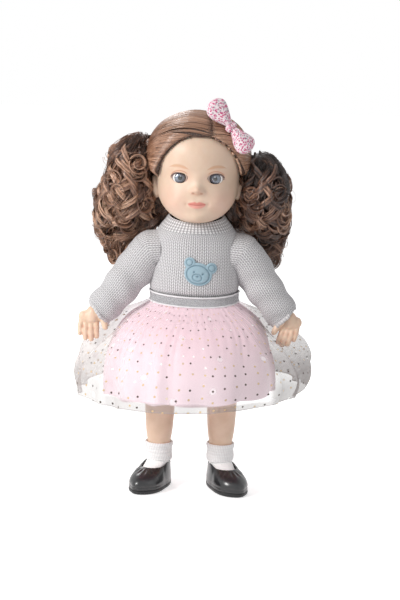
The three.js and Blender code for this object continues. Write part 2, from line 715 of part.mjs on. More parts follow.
function armOutside() {
  const upper = rod(ARM_RADIUS, -SEAT_DEPTH, 0, 0, 0);
  const palm = ball(...PALM, 14.5, 8, 15, 10);
  let arm = limb(ARM_PATH, ARM_RADII, { around: 9, steps: 5 }).add(upper);
  arm = arm.add(ball(0, 0, 0, ARM_RADIUS, ARM_RADIUS, ARM_RADIUS, 10)).add(palm);
  for (const [from, to, radius] of FINGERS) {
    const middle = from.map((value, i) => (value + to[i]) / 2);
    const finger = limb([from, middle, to], [radius, radius, radius * 0.6], { around: 5, steps: 2 });
    arm = arm.add(finger);
  }
  return arm.add(limb(...THUMB, { around: 5, steps: 3 }));
}

function armShell() {
  const inside = ARM_RADIUS - VINYL_WALL;
  const bore = { around: 7, steps: 3, grow: -VINYL_WALL };
  const hollow = limb(ARM_PATH.slice(0, 5), ARM_RADII.slice(0, 5), bore);
  return armOutside()
    .subtract(hollow.add(ball(0, 0, 0, inside, inside, inside, 8)))
    .subtract(rod(ARM_PLUG_RADIUS + GAP, -SEAT_DEPTH - 1, 0, 0, 0));
}

function plug(radius, seat) {
  const disc = rod(radius, -seat, -seat + PLUG_THICKNESS, 0, 0);
  return disc.subtract(rod(CORD_RADIUS + GAP, -seat - 1, -seat + PLUG_THICKNESS + 1, 0, 0));
}

const SLEEVE_PATH = [[2, 0, -3], [18, 0, -22], [34, -2, -45], [47, -3.5, -66], [53, -4, -76]];
const SLEEVE_RADII = [23.5, 23, 20.5, 18, 17];

function sleeveForm(grow, innerX, cuffGrow) {
  const scale = SLEEVE_LENGTH / 90;
  const path = SLEEVE_PATH.map((p) => p.map((value) => value * scale));
  const end = new THREE.Vector3(...path.at(-1));
  const before = new THREE.Vector3(...path.at(-2));
  end.addScaledVector(end.clone().sub(before).normalize(), cuffGrow);
  path[path.length - 1] = end.toArray();
  const reach = 120;
  const wide = ARMHOLE_RADIUS + grow;
  const shoulder = ball(0, 0, 0, wide, wide, wide, 10);
  const outsideSweater = block([-2.6 - grow, -reach, -reach], [reach, reach, reach]);
  return limb(path, SLEEVE_RADII, { around: 10, steps: 4, grow })
    .add(shoulder)
    .intersect(outsideSweater)
    .add(rod(ARMHOLE_RADIUS + grow, innerX, 0, 0, 0));
}

function sleeve() {
  const innerX = -SLEEVE_SEAM;
  return sleeveForm(0, innerX, 0).subtract(sleeveForm(-KNIT_WALL, innerX - 2, 3));
}

function arm(side, name, spread) {
  const group = new THREE.Group();
  group.position.set(side * SHOULDER_X, 0, SHOULDER_Z);
  group.scale.x = side;
  const standOut = (point) => {
    point[0] += spread * Math.max(0, point[0] - ARM_RADIUS);
  };
  add(group, `arm_${name}`, armShell().warp(standOut), VINYL);
  add(group, `arm_plug_${name}`, plug(ARM_PLUG_RADIUS, SEAT_DEPTH), NYLON);
  add(group, `sleeve_${name}`, sleeve().warp(standOut), KNIT);
  return group;
}

// Leg: hollow vinyl with a foot, closed by a plug at the hip, in a sock with a folded cuff and a shoe
const toGround = -HIP_Z;
const LEG_ROWS = [
  [toGround + 14, 11], [toGround + 26, 11], [toGround + 38, 11.8], [toGround + 52, 13.2],
  [toGround + 66, 15.4], [toGround + 88, 17.2], [toGround + 110, 18], [toGround + 134, 20.4],
  [toGround + 160, 23.6], [0, HIP_RADIUS],
];
const SEAT_AT_HIP = HIP_X - LEG_SEAT_X;

const roundRows = (rows) => rows.map(([height, radius]) => [height, radius, -radius, radius]);

// A foot-like form, given over the ground, broad at the toes, turned out and set under the ankle
function broadToe(point) {
  const share = THREE.MathUtils.clamp((-point.y - 15) / 36, 0, 1);
  point.x *= 1 + TOE_BREADTH * share * (1 - share ** 6);
  return point;
}

function underAnkle(table, options) {
  return form(table, { ...options, shape: broadToe })
    .rotate([0, 0, TOE_OUT])
    .translate([0, 0, toGround]);
}

function legOutside(grow) {
  const leg = form(roundRows(LEG_ROWS), { grow, around: 12 });
  const wide = HIP_RADIUS + grow;
  return leg.add(ball(0, 0, 0, wide, wide, wide, 12)).add(underAnkle(FOOT, { grow, around: 12 }));
}

function legShell() {
  const inside = HIP_RADIUS - VINYL_WALL;
  const hollow = form(roundRows(LEG_ROWS.slice(3)), { grow: -VINYL_WALL, around: 8 })
    .add(ball(0, 0, 0, inside, inside, inside, 8));
  const inner = block([-60, -60, -60], [-SEAT_AT_HIP, 60, 60]);
  return legOutside(0)
    .subtract(hollow)
    .subtract(inner)
    .subtract(rod(LEG_PLUG_RADIUS + GAP, -SEAT_AT_HIP - 1, -8, 0, 0));
}

// The sock's leg and foot, and the turned-down cuff round its top
function sockForm(grow) {
  const rows = roundRows(LEG_ROWS.slice(0, 5));
  return form(rows, { grow, around: 12 }).add(underAnkle(FOOT, { grow, around: 12 }));
}

function sock() {
  const top = toGround + SOCK_TOP - 3;
  const room = block([-60, -80, toGround], [60, 60, top]);
  return sockForm(SOCK_WALL + GAP).intersect(room).subtract(sockForm(GAP));
}

function sockCuff() {
  const inner = SOCK_WALL + 2 * GAP;
  const rows = LEG_ROWS.slice(1, 5).map(([height, radius]) => [height, radius + 1.6 + inner]);
  const low = toGround + SOCK_CUFF_LOW;
  const room = block([-60, -60, low], [60, 60, toGround + SOCK_TOP]);
  const fold = form(roundRows(rows), { around: 12 }).intersect(room);
  return fold.subtract(sockForm(inner));
}

function shoeSole() {
  const rows = SHOE.slice(0, 3);
  return underAnkle(rows, { around: 18 });
}

function shoeUpper() {
  const rows = [[SOLE_THICKNESS + GAP, ...SHOE[2].slice(1)], ...SHOE.slice(3)];
  const outside = underAnkle(rows, { around: 18 });
  const reach = 60;
  const topline = new THREE.BoxGeometry(2 * reach, 3 * reach, reach);
  topline.rotateX(Math.atan(0.14));
  topline.translate(0, 0, toGround + TOPLINE + reach / 2);
  return outside.subtract(sockForm(SOCK_WALL + 2 * GAP)).subtract(solid(topline));
}

function leg(side, name) {
  const group = new THREE.Group();
  group.position.set(side * HIP_X, HIP_Y, HIP_Z);
  group.scale.x = side;
  add(group, `leg_${name}`, legShell(), VINYL);
  add(group, `leg_plug_${name}`, plug(LEG_PLUG_RADIUS, SEAT_AT_HIP), NYLON);
  add(group, `sock_${name}`, sock(), SOCK_KNIT);
  add(group, `sock_cuff_${name}`, sockCuff(), SOCK_KNIT);
  add(group, `shoe_upper_${name}`, shoeUpper(), GLOSS_BLACK);
  add(group, `shoe_sole_${name}`, shoeSole(), GLOSS_BLACK);
  return group;
}

// Each leg hangs on a short elastic cord between a knob in the crotch and a knob in the leg
function hipCord(side, name) {
  const inner = 4;
  const knobFrom = LEG_SEAT_X + PLUG_THICKNESS + GAP;
  const along = (radius, from, to) =>
    side > 0 ? hipRod(radius, from, to) : hipRod(radius, -to, -from);
  const cord = along(CORD_RADIUS, inner, knobFrom + 1)
    .add(along(KNOB_RADIUS, inner, inner + 4))
    .add(along(KNOB_RADIUS, knobFrom, knobFrom + KNOB_LENGTH));
  add(doll, `hip_cord_${name}`, cord, ELASTIC);
}

doll.add(head(), body());
for (const [side, name] of [[1, "left"], [-1, "right"]]) {
  doll.add(arm(side, name, side < 0 ? RIGHT_ARM_SPREAD : 0), leg(side, name));
  hipCord(side, name);
}

export default doll;
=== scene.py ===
import math

import bpy
import numpy as np
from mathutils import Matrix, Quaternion, Vector
from mathutils.bvhtree import BVHTree


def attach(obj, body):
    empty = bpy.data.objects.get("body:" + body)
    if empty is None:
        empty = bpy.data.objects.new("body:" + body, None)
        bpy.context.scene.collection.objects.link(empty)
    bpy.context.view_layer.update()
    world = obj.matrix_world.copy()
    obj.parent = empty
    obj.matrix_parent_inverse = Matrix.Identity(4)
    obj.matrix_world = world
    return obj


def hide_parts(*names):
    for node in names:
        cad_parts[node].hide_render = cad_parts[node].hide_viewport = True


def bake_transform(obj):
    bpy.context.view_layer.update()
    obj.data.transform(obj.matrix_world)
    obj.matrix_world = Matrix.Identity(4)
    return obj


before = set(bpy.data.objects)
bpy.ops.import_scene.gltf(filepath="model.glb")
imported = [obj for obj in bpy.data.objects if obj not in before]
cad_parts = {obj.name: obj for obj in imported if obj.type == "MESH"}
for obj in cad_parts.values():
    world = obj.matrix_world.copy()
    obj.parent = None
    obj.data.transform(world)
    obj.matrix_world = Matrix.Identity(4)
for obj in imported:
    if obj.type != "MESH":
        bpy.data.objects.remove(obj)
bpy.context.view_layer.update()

MM = 0.001
scene = bpy.context.scene

# Studio: a camera in front of the doll and a little above its head, a white floor that keeps
# the doll's shadow, a large soft lamp on the camera's left and weaker ones at the right and behind.
CAMERA_AT = Vector((0.007, -1.8, 0.5524))
LOOK_AT = Vector((0.007, 0, 0.2279))
LENS = 92.8
LEAN = 1.8

camera_data = bpy.data.cameras.new("camera")
camera_data.lens = LENS
camera = bpy.data.objects.new("camera", camera_data)
scene.collection.objects.link(camera)
camera.location = CAMERA_AT
toward = (LOOK_AT - CAMERA_AT).to_track_quat("-Z", "Y")
camera.rotation_euler = (toward @ Quaternion((0, 0, 1), math.radians(LEAN))).to_euler()
scene.camera = camera
scene.view_settings.view_transform = "Standard"


def lamp(name, at, target, size, power, color):
    data = bpy.data.lights.new(name, "AREA")
    data.shape = "DISK"
    data.size = size
    data.energy = power
    data.color = color
    made = bpy.data.objects.new(name, data)
    scene.collection.objects.link(made)
    made.location = at
    made.rotation_euler = (Vector(target) - Vector(at)).to_track_quat("-Z", "Y").to_euler()


lamp("lamp_left", (-1.55, -1.15, 1.25), (0, 0, 0.25), 0.8, 32, (1, 0.99, 0.97))
lamp("lamp_right", (1.5, -1.2, 0.8), (0, 0, 0.25), 1.2, 1.5, (0.97, 0.98, 1))
lamp("lamp_behind", (-0.6, 1.5, 1.5), (0, 0, 0.3), 0.8, 10, (1, 1, 1))


class Amount:
    """A number that varies over a surface. Arithmetic on it adds the nodes that work it out."""

    def __init__(self, paint, socket):
        self.paint = paint
        self.socket = socket

    def __add__(self, other):
        return self.paint.math("ADD", self, other)

    __radd__ = __add__

    def __sub__(self, other):
        return self.paint.math("SUBTRACT", self, other)

    def __rsub__(self, other):
        return self.paint.math("SUBTRACT", other, self)

    def __mul__(self, other):
        return self.paint.math("MULTIPLY", self, other)

    __rmul__ = __mul__

    def __truediv__(self, other):
        return self.paint.math("DIVIDE", self, other)

    def __rtruediv__(self, other):
        return self.paint.math("DIVIDE", other, self)

    def __pow__(self, other):
        return self.paint.math("POWER", self, other)

    def __abs__(self):
        return self.paint.math("ABSOLUTE", self)


class Paint:
    """A material, with the node work that several pieces share."""

    def __init__(self, name, color=None, **sockets):
        self.material = bpy.data.materials.new(name)
        self.material.use_nodes = True
        self.tree = self.material.node_tree
        self.shader = next(n for n in self.tree.nodes if n.type == "BSDF_PRINCIPLED")
        self.output = next(n for n in self.tree.nodes if n.type == "OUTPUT_MATERIAL")
        if color:
            self.shader.inputs["Base Color"].default_value = shade(*color)
        for socket, value in sockets.items():
            self.shader.inputs[socket.replace("_", " ")].default_value = value

    def node(self, kind, inputs=(), stops=None, **settings):
        made = self.tree.nodes.new(kind)
        for key, value in settings.items():
            setattr(made, key, value)
        if stops:
            ramp = made.color_ramp
            while len(ramp.elements) < len(stops):
                ramp.elements.new(0.5)
            for element, (place, color) in zip(ramp.elements, stops):
                element.position = place
                element.color = shade(*color)
        for key, value in dict(inputs).items():
            self.feed(made.inputs[key], value)
        return made

    def feed(self, socket, value):
        if isinstance(value, Amount):
            value = value.socket
        if isinstance(value, bpy.types.NodeSocket):
            self.tree.links.new(value, socket)
        else:
            socket.default_value = value

    def math(self, operation, *values, clamp=False):
        made = self.node("ShaderNodeMath", enumerate(values), operation=operation, use_clamp=clamp)
        return Amount(self, made.outputs[0])

    def ease(self, value, low, high, out_low=0.0, out_high=1.0):
        """The value's smooth step from low to high."""
        sockets = {0: value, 1: low, 2: high, 3: out_low, 4: out_high}
        made = self.node("ShaderNodeMapRange", sockets, interpolation_type="SMOOTHSTEP")
        return Amount(self, made.outputs[0])

    def parts(self, vector):
        """The three numbers of a vector or a colour."""
        split = self.node("ShaderNodeSeparateXYZ", {0: vector})
        return [Amount(self, split.outputs[i]) for i in range(3)]

    def place(self):
        """The three Object coordinates, in millimetres."""
        return [part * (1 / MM) for part in self.parts(self.node("ShaderNodeTexCoord").outputs["Object"])]

    def flat_place(self, scale=1 / MM):
        """The two coordinates of the cloth as it was cut, in millimetres unless scaled otherwise."""
        return [part * scale for part in self.parts(self.node("ShaderNodeTexCoord").outputs["UV"])[:2]]

    def cells(self, vector, **sockets):
        """The distance to the nearest cell's middle on a flat surface, and a random number for that cell."""
        sockets = {"Vector": vector, "Scale": 1.0, **sockets}
        found = self.node("ShaderNodeTexVoronoi", sockets, voronoi_dimensions="2D")
        return Amount(self, found.outputs["Distance"]), self.parts(found.outputs["Color"])[0]

    def point(self, x, y, z=0.0):
        return self.node("ShaderNodeCombineXYZ", {0: x, 1: y, 2: z}).outputs[0]

    def noise(self, scale, at=None, detail=2.0, rough=0.5):
        at = at or self.node("ShaderNodeTexCoord").outputs["Object"]
        sockets = {"Vector": at, "Scale": scale, "Detail": detail, "Roughness": rough}
        return Amount(self, self.node("ShaderNodeTexNoise", sockets).outputs[0])

    def mix(self, share, first, second):
        first, second = [shade(*c) if isinstance(c, tuple) else c for c in (first, second)]
        return self.node("ShaderNodeMix", {0: share, 6: first, 7: second}, data_type="RGBA").outputs[2]

    def set(self, **values):
        for socket, value in values.items():
            self.feed(self.shader.inputs[socket.replace("_", " ")], value)

    def bump(self, height, distance, strength=1.0):
        sockets = {"Height": height, "Distance": distance, "Strength": strength}
        self.set(Normal=self.node("ShaderNodeBump", sockets).outputs[0])


def shade(*levels):
    """A colour given as red, green and blue from 0 to 255, as the nodes take it."""
    shares = [level / 255 for level in levels]
    return (*(c / 12.92 if c <= 0.04045 else ((c + 0.055) / 1.055) ** 2.4 for c in shares), 1.0)


def seen_white(tree):
    """1 where the camera looks, or what metal or glass reflects, and 0 for the light itself."""
    ray = tree.nodes.new("ShaderNodeLightPath")
    either = ray.outputs["Is Camera Ray"]
    for kind in ("Is Glossy Ray", "Is Transmission Ray"):
        most = tree.nodes.new("ShaderNodeMath")
        most.operation = "MAXIMUM"
        tree.links.new(either, most.inputs[0])
        tree.links.new(ray.outputs[kind], most.inputs[1])
        either = most.outputs[0]
    return either


world = bpy.data.worlds.new("studio")
world.use_nodes = True
scene.world = world
sky = world.node_tree
ambient = next(n for n in sky.nodes if n.type == "BACKGROUND")
backdrop = sky.nodes.new("ShaderNodeBackground")
for screen, strength in ((ambient, 0.5), (backdrop, 1.0)):
    screen.inputs["Color"].default_value = (1, 1, 1, 1)
    screen.inputs["Strength"].default_value = strength
which = sky.nodes.new("ShaderNodeMixShader")
sky.links.new(seen_white(sky), which.inputs[0])
sky.links.new(ambient.outputs[0], which.inputs[1])
sky.links.new(backdrop.outputs[0], which.inputs[2])
sky.links.new(which.outputs[0], next(n for n in sky.nodes if n.type == "OUTPUT_WORLD").inputs["Surface"])

bpy.ops.mesh.primitive_plane_add(size=16)
floor = bpy.context.object
floor.name = "studio_floor"
floor_paint = Paint("studio_floor", color=(238, 238, 238), Roughness=0.9, Emission_Strength=0.55)
seen_floor = Amount(floor_paint, seen_white(floor_paint.tree))
floor_paint.set(Emission_Color=floor_paint.mix(seen_floor, (0, 0, 0), (255, 255, 255)))
floor.data.materials.append(floor_paint.material)


# Head: rotation-cast vinyl, hollow and a little soft, with painted brows, lashes, cheeks and lips.
# It has small ears, two openings for the eyes and a neck whose flange the cloth body is tied over.
CHIN = 324.5
HEAD_ROWS = [
    [-1, 0, -27, -27, 0], [0.5, 14, -40, -12, 0], [5.5, 27, -46.5, 4, 0], [13.5, 37, -49.5, 22, 0],
    [22, 43, -51, 35, 0], [28, 45.4, -51.2, 42, 0], [34, 46.5, -51, 47.5, 0], [39.5, 47.2, -50.4, 51, 0],
    [46, 47.6, -49.5, 54, 0],
    [53.5, 49.2, -49.1, 57.5, 0], [62, 51.6, -49.4, 60, 0], [72, 53, -50, 61, 0], [83.5, 52, -49, 60, 0],
    [95.5, 47, -44, 54, 0], [106.5, 37, -34, 44, 0], [114.5, 24, -21, 31, 0], [119.5, 10, -6, 16, 0],
    [121, 0, 5, 5, 0],
]
# Each swelling or hollow of the face: x, height over the chin, forward, width, height
FACE_RELIEF = [
    (0, 39.2, 6.8, 5.4, 4.6), (0, 46.5, 2.2, 5.6, 9), (-6.2, 37.4, 2.9, 2.7, 2.7), (6.2, 37.4, 2.9, 2.7, 2.7),
    (0, 24.2, 2.0, 9.4, 2.4), (-3, 24.8, 0.8, 2.6, 1.6), (3, 24.8, 0.8, 2.6, 1.6), (0, 18.8, 2.1, 6.8, 2.4),
    (0, 21.9, -0.9, 9.2, 0.9), (0, 5.5, 3.4, 11, 7.5), (0, 13.2, -1.1, 9, 2.6), (-27, 25, 3.4, 12, 12),
    (27, 25, 3.4, 12, 12), (-12.4, 22.4, -1.3, 2.2, 2.4), (12.4, 22.4, -1.3, 2.2, 2.4),
    (-20, 52, -2.2, 9, 6.6), (20, 52, -2.2, 9, 6.6), (-20, 59.4, 1.0, 9, 3), (20, 59.4, 1.0, 9, 3),
    (0, 78, 2, 30, 18),
    (-4.7, 35.6, -1.1, 1.4, 1.1), (4.7, 35.6, -1.1, 1.4, 1.1), (0, 30.4, -0.9, 1.8, 2.4),
]
EYE_X = 20
EYE_Y = -33.9
EYE_Z = CHIN + 51.5
EYEBALL = 9.3
IRIS = 6.5


def smooth_rows(rows, heights, squared=True):
    """Rows of height, half width, front, back and centre x, read at other heights along smooth curves."""
    rows = np.array(rows, float)
    low = rows[:, 0]
    half, front, back = rows[:, 1], rows[:, 2], rows[:, 3]
    deep = (back - front) / 2
    if squared:
        half, deep = half**2, deep**2
    values = np.stack([half, deep, (front + back) / 2, rows[:, 4]], 1)
    slopes = np.zeros_like(values)
    step = np.diff(low)[:, None]
    rise = np.diff(values, axis=0) / step
    slopes[1:-1] = (rise[:-1] * step[1:] + rise[1:] * step[:-1]) / (step[1:] + step[:-1])
    slopes[0], slopes[-1] = rise[0], rise[-1]
    heights = np.clip(heights, low[0], low[-1])
    i = np.clip(np.searchsorted(low, heights, side="right") - 1, 0, len(low) - 2)
    t = ((heights - low[i]) / (low[i + 1] - low[i]))[:, None]
    gap = (low[i + 1] - low[i])[:, None]
    out = (
        (2 * t**3 - 3 * t**2 + 1) * values[i]
        + (t**3 - 2 * t**2 + t) * gap * slopes[i]
        + (3 * t**2 - 2 * t**3) * values[i + 1]
        + (t**3 - t**2) * gap * slopes[i + 1]
    )
    if squared:
        out[:, :2] = np.sqrt(np.maximum(out[:, :2], 0))
    return out


def rings(rows, heights, around, crowd=0.0, squared=True):
    """A grid of points, in millimetres, over the form that the rows describe."""
    half, deep, y, x = smooth_rows(rows, np.asarray(heights, float), squared).T[:, :, None]
    even = np.linspace(0, 2 * np.pi, around, endpoint=False)
    angle = even - crowd * np.cos(even)
    grid = np.empty((len(heights), around, 3))
    grid[..., 0] = x + half * np.cos(angle)
    grid[..., 1] = y + deep * np.sin(angle)
    grid[..., 2] = np.asarray(heights, float)[:, None]
    return grid


def from_grid(name, grid, paint=None, closed=True, ends=(False, False), uv=None):
    """A mesh over a grid of points in millimetres. Its ends may run to a point or be capped."""
    rows, around = grid.shape[:2]
    points = grid.reshape(-1, 3) * MM
    faces = []
    span = around if closed else around - 1
    for i in range(rows - 1):
        for j in range(span):
            k = (j + 1) % around
            faces.append((i * around + j, i * around + k, (i + 1) * around + k, (i + 1) * around + j))
    if ends[0]:
        faces.append(tuple(range(around))[::-1])
    if ends[1]:
        faces.append(tuple((rows - 1) * around + j for j in range(around)))
    mesh = bpy.data.meshes.new(name)
    mesh.from_pydata(points.tolist(), [], faces)
    made = bpy.data.objects.new(name, mesh)
    scene.collection.objects.link(made)
    if uv is not None:
        flat = np.asarray(uv, float)
        layer = mesh.uv_layers.new(name="cut")
        corners = np.empty(len(mesh.loops), int)
        mesh.loops.foreach_get("vertex_index", corners)
        rows_of, columns = corners // around, corners % around
        values = flat[rows_of, columns].copy()
        if closed:
            width = flat[:, -1, 0] + (flat[:, -1, 0] - flat[:, -2, 0])
            for start in [p.loop_start for p in mesh.polygons if p.loop_total == 4]:
                piece = slice(start, start + 4)
                if columns[piece].max() == around - 1 and columns[piece].min() == 0:
                    first = columns[piece] == 0
                    values[piece, 0][first] = width[rows_of[piece]][first]
        layer.data.foreach_set("uv", (values * MM).ravel())
    mesh.polygons.foreach_set("use_smooth", [True] * len(mesh.polygons))
    if paint:
        mesh.materials.append(paint.material)
    return made


def take(*made):
    """Selects these objects alone, the first as the active one."""
    bpy.ops.object.select_all(action="DESELECT")
    for each in made:
        each.select_set(True)
    bpy.context.view_layer.objects.active = made[0]


def finish_with(made, *modifiers):
    """Adds each modifier, given as its type and settings, and applies it."""
    take(made)
    for kind, settings in modifiers:
        modifier = made.modifiers.new(kind.lower(), kind)
        for key, value in settings.items():
            setattr(modifier, key, value)
        bpy.ops.object.modifier_apply(modifier=modifier.name)
    return made


def melt(made, grain, rounds):
    """Runs overlapping forms into one skin of a grain in millimetres, and smooths it."""
    remesh = {"mode": "VOXEL", "voxel_size": grain * MM}
    finish_with(made, ("REMESH", remesh), ("SMOOTH", {"factor": 0.5, "iterations": rounds}))


def cut_out(made, tool, crossing=False):
    """Takes a form, which may cross itself, out of a piece, and removes the form."""
    settings = {"object": tool, "operation": "DIFFERENCE", "solver": "EXACT", "use_self": crossing}
    finish_with(made, ("BOOLEAN", settings))
    bpy.data.objects.remove(tool)


def cover(made, paint):
    """Gives a whole piece one material and a smooth surface."""
    made.data.materials.clear()
    made.data.materials.append(paint.material)
    made.data.polygons.foreach_set("use_smooth", [True] * len(made.data.polygons))


def even_heights(low, high, count):
    """Heights from low to high that lie closer together near both ends."""
    return low + (high - low) * (1 - np.cos(np.linspace(0, np.pi, count))) / 2


def add_relief(grid):
    front = np.clip((-grid[..., 1] - 4) / 14, 0, 1)
    front = front * front * (3 - 2 * front)
    height = grid[..., 2]
    out = np.zeros(height.shape)
    for x, z, forward, wide, tall in FACE_RELIEF:
        out += forward * np.exp(-(((grid[..., 0] - x) / wide) ** 2) - ((height - z) / tall) ** 2)
    grid[..., 1] -= out * front
    return grid


def join(name, *parts):
    """Makes several meshes one object."""
    take(*parts)
    bpy.ops.object.join()
    parts[0].name = name
    return parts[0]


def ball(name, at, radii, segments=48, turn=(0, 0, 0)):
    """A round form at a place, in millimetres, with its place in its mesh."""
    bpy.ops.object.select_all(action="DESELECT")
    bpy.ops.mesh.primitive_uv_sphere_add(segments=segments, ring_count=segments // 2, radius=1)
    made = bpy.context.object
    made.name = name
    made.scale = Vector(radii) * MM
    made.rotation_euler = [math.radians(a) for a in turn]
    made.location = Vector(at) * MM
    bpy.ops.object.transform_apply()
    bpy.ops.object.shade_smooth()
    return made


GLOW_REACH = {"Subsurface_Radius": (1.0, 0.35, 0.2), "Subsurface_Scale": 0.004}
skin = Paint("vinyl_skin", Roughness=0.46, Subsurface_Weight=0.12, **GLOW_REACH)
x, y, z = skin.place()
h = z - CHIN
side = abs(x)
facing = skin.ease(y, -18, -26)
on_head = skin.ease(h, -6, -2) * facing


def spot(at_x, at_h, wide, tall, soft):
    away = ((side - at_x) / wide) ** 2 + ((h - at_h) / tall) ** 2
    return skin.ease(away**0.5, 1 + soft, 1 - soft) * on_head


def arc(at_x, wide, top, droop, thick, low_side=0.0):
    """A thin painted stroke that rises to `top` at at_x and droops on both sides."""
    along = (side - at_x) / wide
    line = top - along * along * droop + along * low_side
    width = thick * skin.ease(abs(along), 1.05, 0.35)
    stroke = skin.ease(abs(h - line) / skin.math("MAXIMUM", width, 0.01), 1.0, 0.2)
    return stroke * skin.ease(abs(along), 1.0, 0.9) * on_head


mottled = skin.noise(90, detail=3) * 0.5 + skin.noise(14, detail=1) * 0.5
tone = skin.mix(skin.ease(mottled, 0.3, 0.75), (219, 190, 167), (226, 200, 179))
tone = skin.mix(spot(29, 24, 15, 13, 0.9) * 0.22, tone, (240, 172, 158))
tone = skin.mix(spot(0, 37, 7, 4, 0.9) * 0.2, tone, (232, 168, 144))
tone = skin.mix(spot(20, 54, 12.5, 8.5, 0.45) * 0.22, tone, (222, 162, 132))
lid = (((side - 20.4) / 10.8) ** 2 + ((h - 51.5) / 8.6) ** 2) ** 0.5
crease = skin.ease(abs(lid - 1.0), 0.11, 0.02) * skin.ease(h, 53.6, 57.0)
crease = crease * skin.ease(side, 10.6, 14) * on_head
tone = skin.mix(crease * 0.62, tone, (196, 122, 84))
tone = skin.mix(arc(21.5, 12.2, 65.6, 3.4, 2.9, 0.9) * 0.62, tone, (206, 152, 114))
# Painted shade: a darker spot in each nostril hollow.
tone = skin.mix(spot(4.7, 35.5, 1.7, 1.2, 0.5) * 0.5, tone, (168, 98, 74))
# Painted shade: a darker band under the nose.
shade_under_nose = skin.ease(abs(h - 34.0 - side * 0.12), 1.6, 0.2) * skin.ease(side, 8.2, 5.5)
tone = skin.mix(shade_under_nose * on_head * 0.2, tone, (196, 128, 100))
lip = side / 10.9
bow_dip = 1.0 * skin.ease(side, 2.6, 0)
lip_top = 22.2 + 3.6 * skin.math("MAXIMUM", 1 - lip * lip, 0) ** 0.7 - bow_dip
lip_low = 22.2 - 4.5 * skin.math("MAXIMUM", 1 - lip * lip, 0) ** 0.8
lips = skin.ease(lip_top - h, -0.9, 0.9) * skin.ease(h - lip_low, -1.1, 1.3)
lips = lips * skin.ease(side, 11.3, 8.8) * on_head
lip_tone = skin.mix(skin.ease(h, 20.6, 22.6), (226, 148, 138), (217, 120, 112))
tone = skin.mix(lips * 0.82, tone, lip_tone)
# Painted shade: a dark line along the groove between the lips.
mouth = skin.ease(abs(h - 21.9 - (side / 10) ** 2 * 1.3), 0.8, 0.1) * skin.ease(side, 11.4, 9) * on_head
tone = skin.mix(mouth * 0.55, tone, (176, 84, 76))
# Painted shade: small darker spots in the hollows at the mouth's corners.
tone = skin.mix(spot(12.8, 22.6, 1.3, 1.5, 0.7) * 0.22, tone, (190, 130, 104))
opening = (((side - 20) / 9.1) ** 2 + ((h - 51.5) / 5.9) ** 2) ** 0.5
lash_wide = 0.04 + 0.16 * skin.ease(side, 17, 28)
lash = skin.ease(opening, 1.06 + lash_wide, 1.0 + lash_wide) * skin.ease(h, 51.0, 52.6)
lash = lash * skin.ease(side, 14, 20) * on_head
tone = skin.mix(lash * 0.88, tone, (84, 54, 54))
corner = skin.ease(abs(h - 51.2 + (side - 28) * 0.18), 0.95, 0.2)
corner = corner * skin.ease(side, 27.2, 28.4) * skin.ease(side, 32.2, 29.4) * on_head
tone = skin.mix(corner * 0.75, tone, (92, 54, 58))
skin.set(Base_Color=tone)
skin.bump(skin.noise(700, detail=2), 0.00006, 0.5)

UP_TO_CHIN = np.array([0, 0, CHIN])
face = add_relief(rings(HEAD_ROWS, even_heights(-0.98, 120.95, 110), 144, crowd=0.42))
head = from_grid("head_form", face + UP_TO_CHIN, ends=(True, True))
NECK_ROWS = [[z, r, 4 - r, 4 + r, 0] for z, r in ((300, 23), (304, 23), (305, 19), (345, 19))]
neck = from_grid("neck", rings(NECK_ROWS, [300, 303.9, 305, 345], 48, squared=False), ends=(True, True))
ears = []
for s in (1, -1):
    ear = ball("ear", (s * 49, 3, CHIN + 36.5), (5.4, 8.2, 14), 32, (0, 8 * s, 0))
    for v in ear.data.vertices:
        out = (v.co.x * s / MM - 49) / 5.4
        rim = (((v.co.y / MM - 3) / 8.2) ** 2 + ((v.co.z / MM - CHIN - 37.5) / 14) ** 2) ** 0.5
        if out > 0:
            v.co.x -= s * MM * 3.4 * max(0.0, 1 - (rim / 0.66) ** 2) * out
    ears.append(ear)
head = join("head", head, neck, *ears)
melt(head, 1.1, 4)
POCKET = 9.75
OPEN_WIDE, OPEN_TALL = 9.1, 5.9
pocket_parts = []
for s in (1, -1):
    pocket_parts.append(ball("pocket", (s * EYE_X, EYE_Y, EYE_Z), (POCKET, POCKET, POCKET), 48))
    bpy.ops.mesh.primitive_cylinder_add(vertices=64, radius=1, depth=1, rotation=(math.pi / 2, 0, 0))
    slit = bpy.context.object
    slit.scale = (OPEN_WIDE * MM, OPEN_TALL * MM, 30 * MM)
    slit.location = (s * EYE_X * MM, -0.048, EYE_Z * MM)
    bpy.ops.object.transform_apply()
    for v in slit.data.vertices:
        across = (v.co.x / MM * s - EYE_X) / OPEN_WIDE
        up = (v.co.z / MM - EYE_Z) / OPEN_TALL
        lifted = OPEN_TALL * up * (1 - 0.10 * abs(across) ** 2) - 0.9 * across * abs(across)
        v.co.z = (EYE_Z + lifted) * MM
    pocket_parts.append(slit)
pockets = join("pockets", *pocket_parts)
cut_out(head, pockets, crossing=True)
cover(head, skin)
take(head)
bpy.ops.object.shade_smooth_by_angle(angle=math.radians(50))
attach(head, "head")
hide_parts("head_shell")

# Eyes: a white plastic ball set in each opening from inside, a printed blue-grey iris with a darker ring, and
# a clear dome over it that gives a bright spot. A highlight is also painted on the iris, and the white is
# painted darker near the lids as painted shade and glows a little as painted light.
white = Paint("eye_white", color=(244, 241, 238), Roughness=0.22, Coat_Weight=0.6, Coat_Roughness=0.05)
x, y, z = white.place()
# Painted shade: the white turns greyer towards the lids.
lid_shade = white.ease(((abs(x) - EYE_X) ** 2 + (z - EYE_Z) ** 2) ** 0.5, 5.6, 9.2)
white.set(Base_Color=white.mix(lid_shade, (252, 252, 252), (226, 214, 208)))
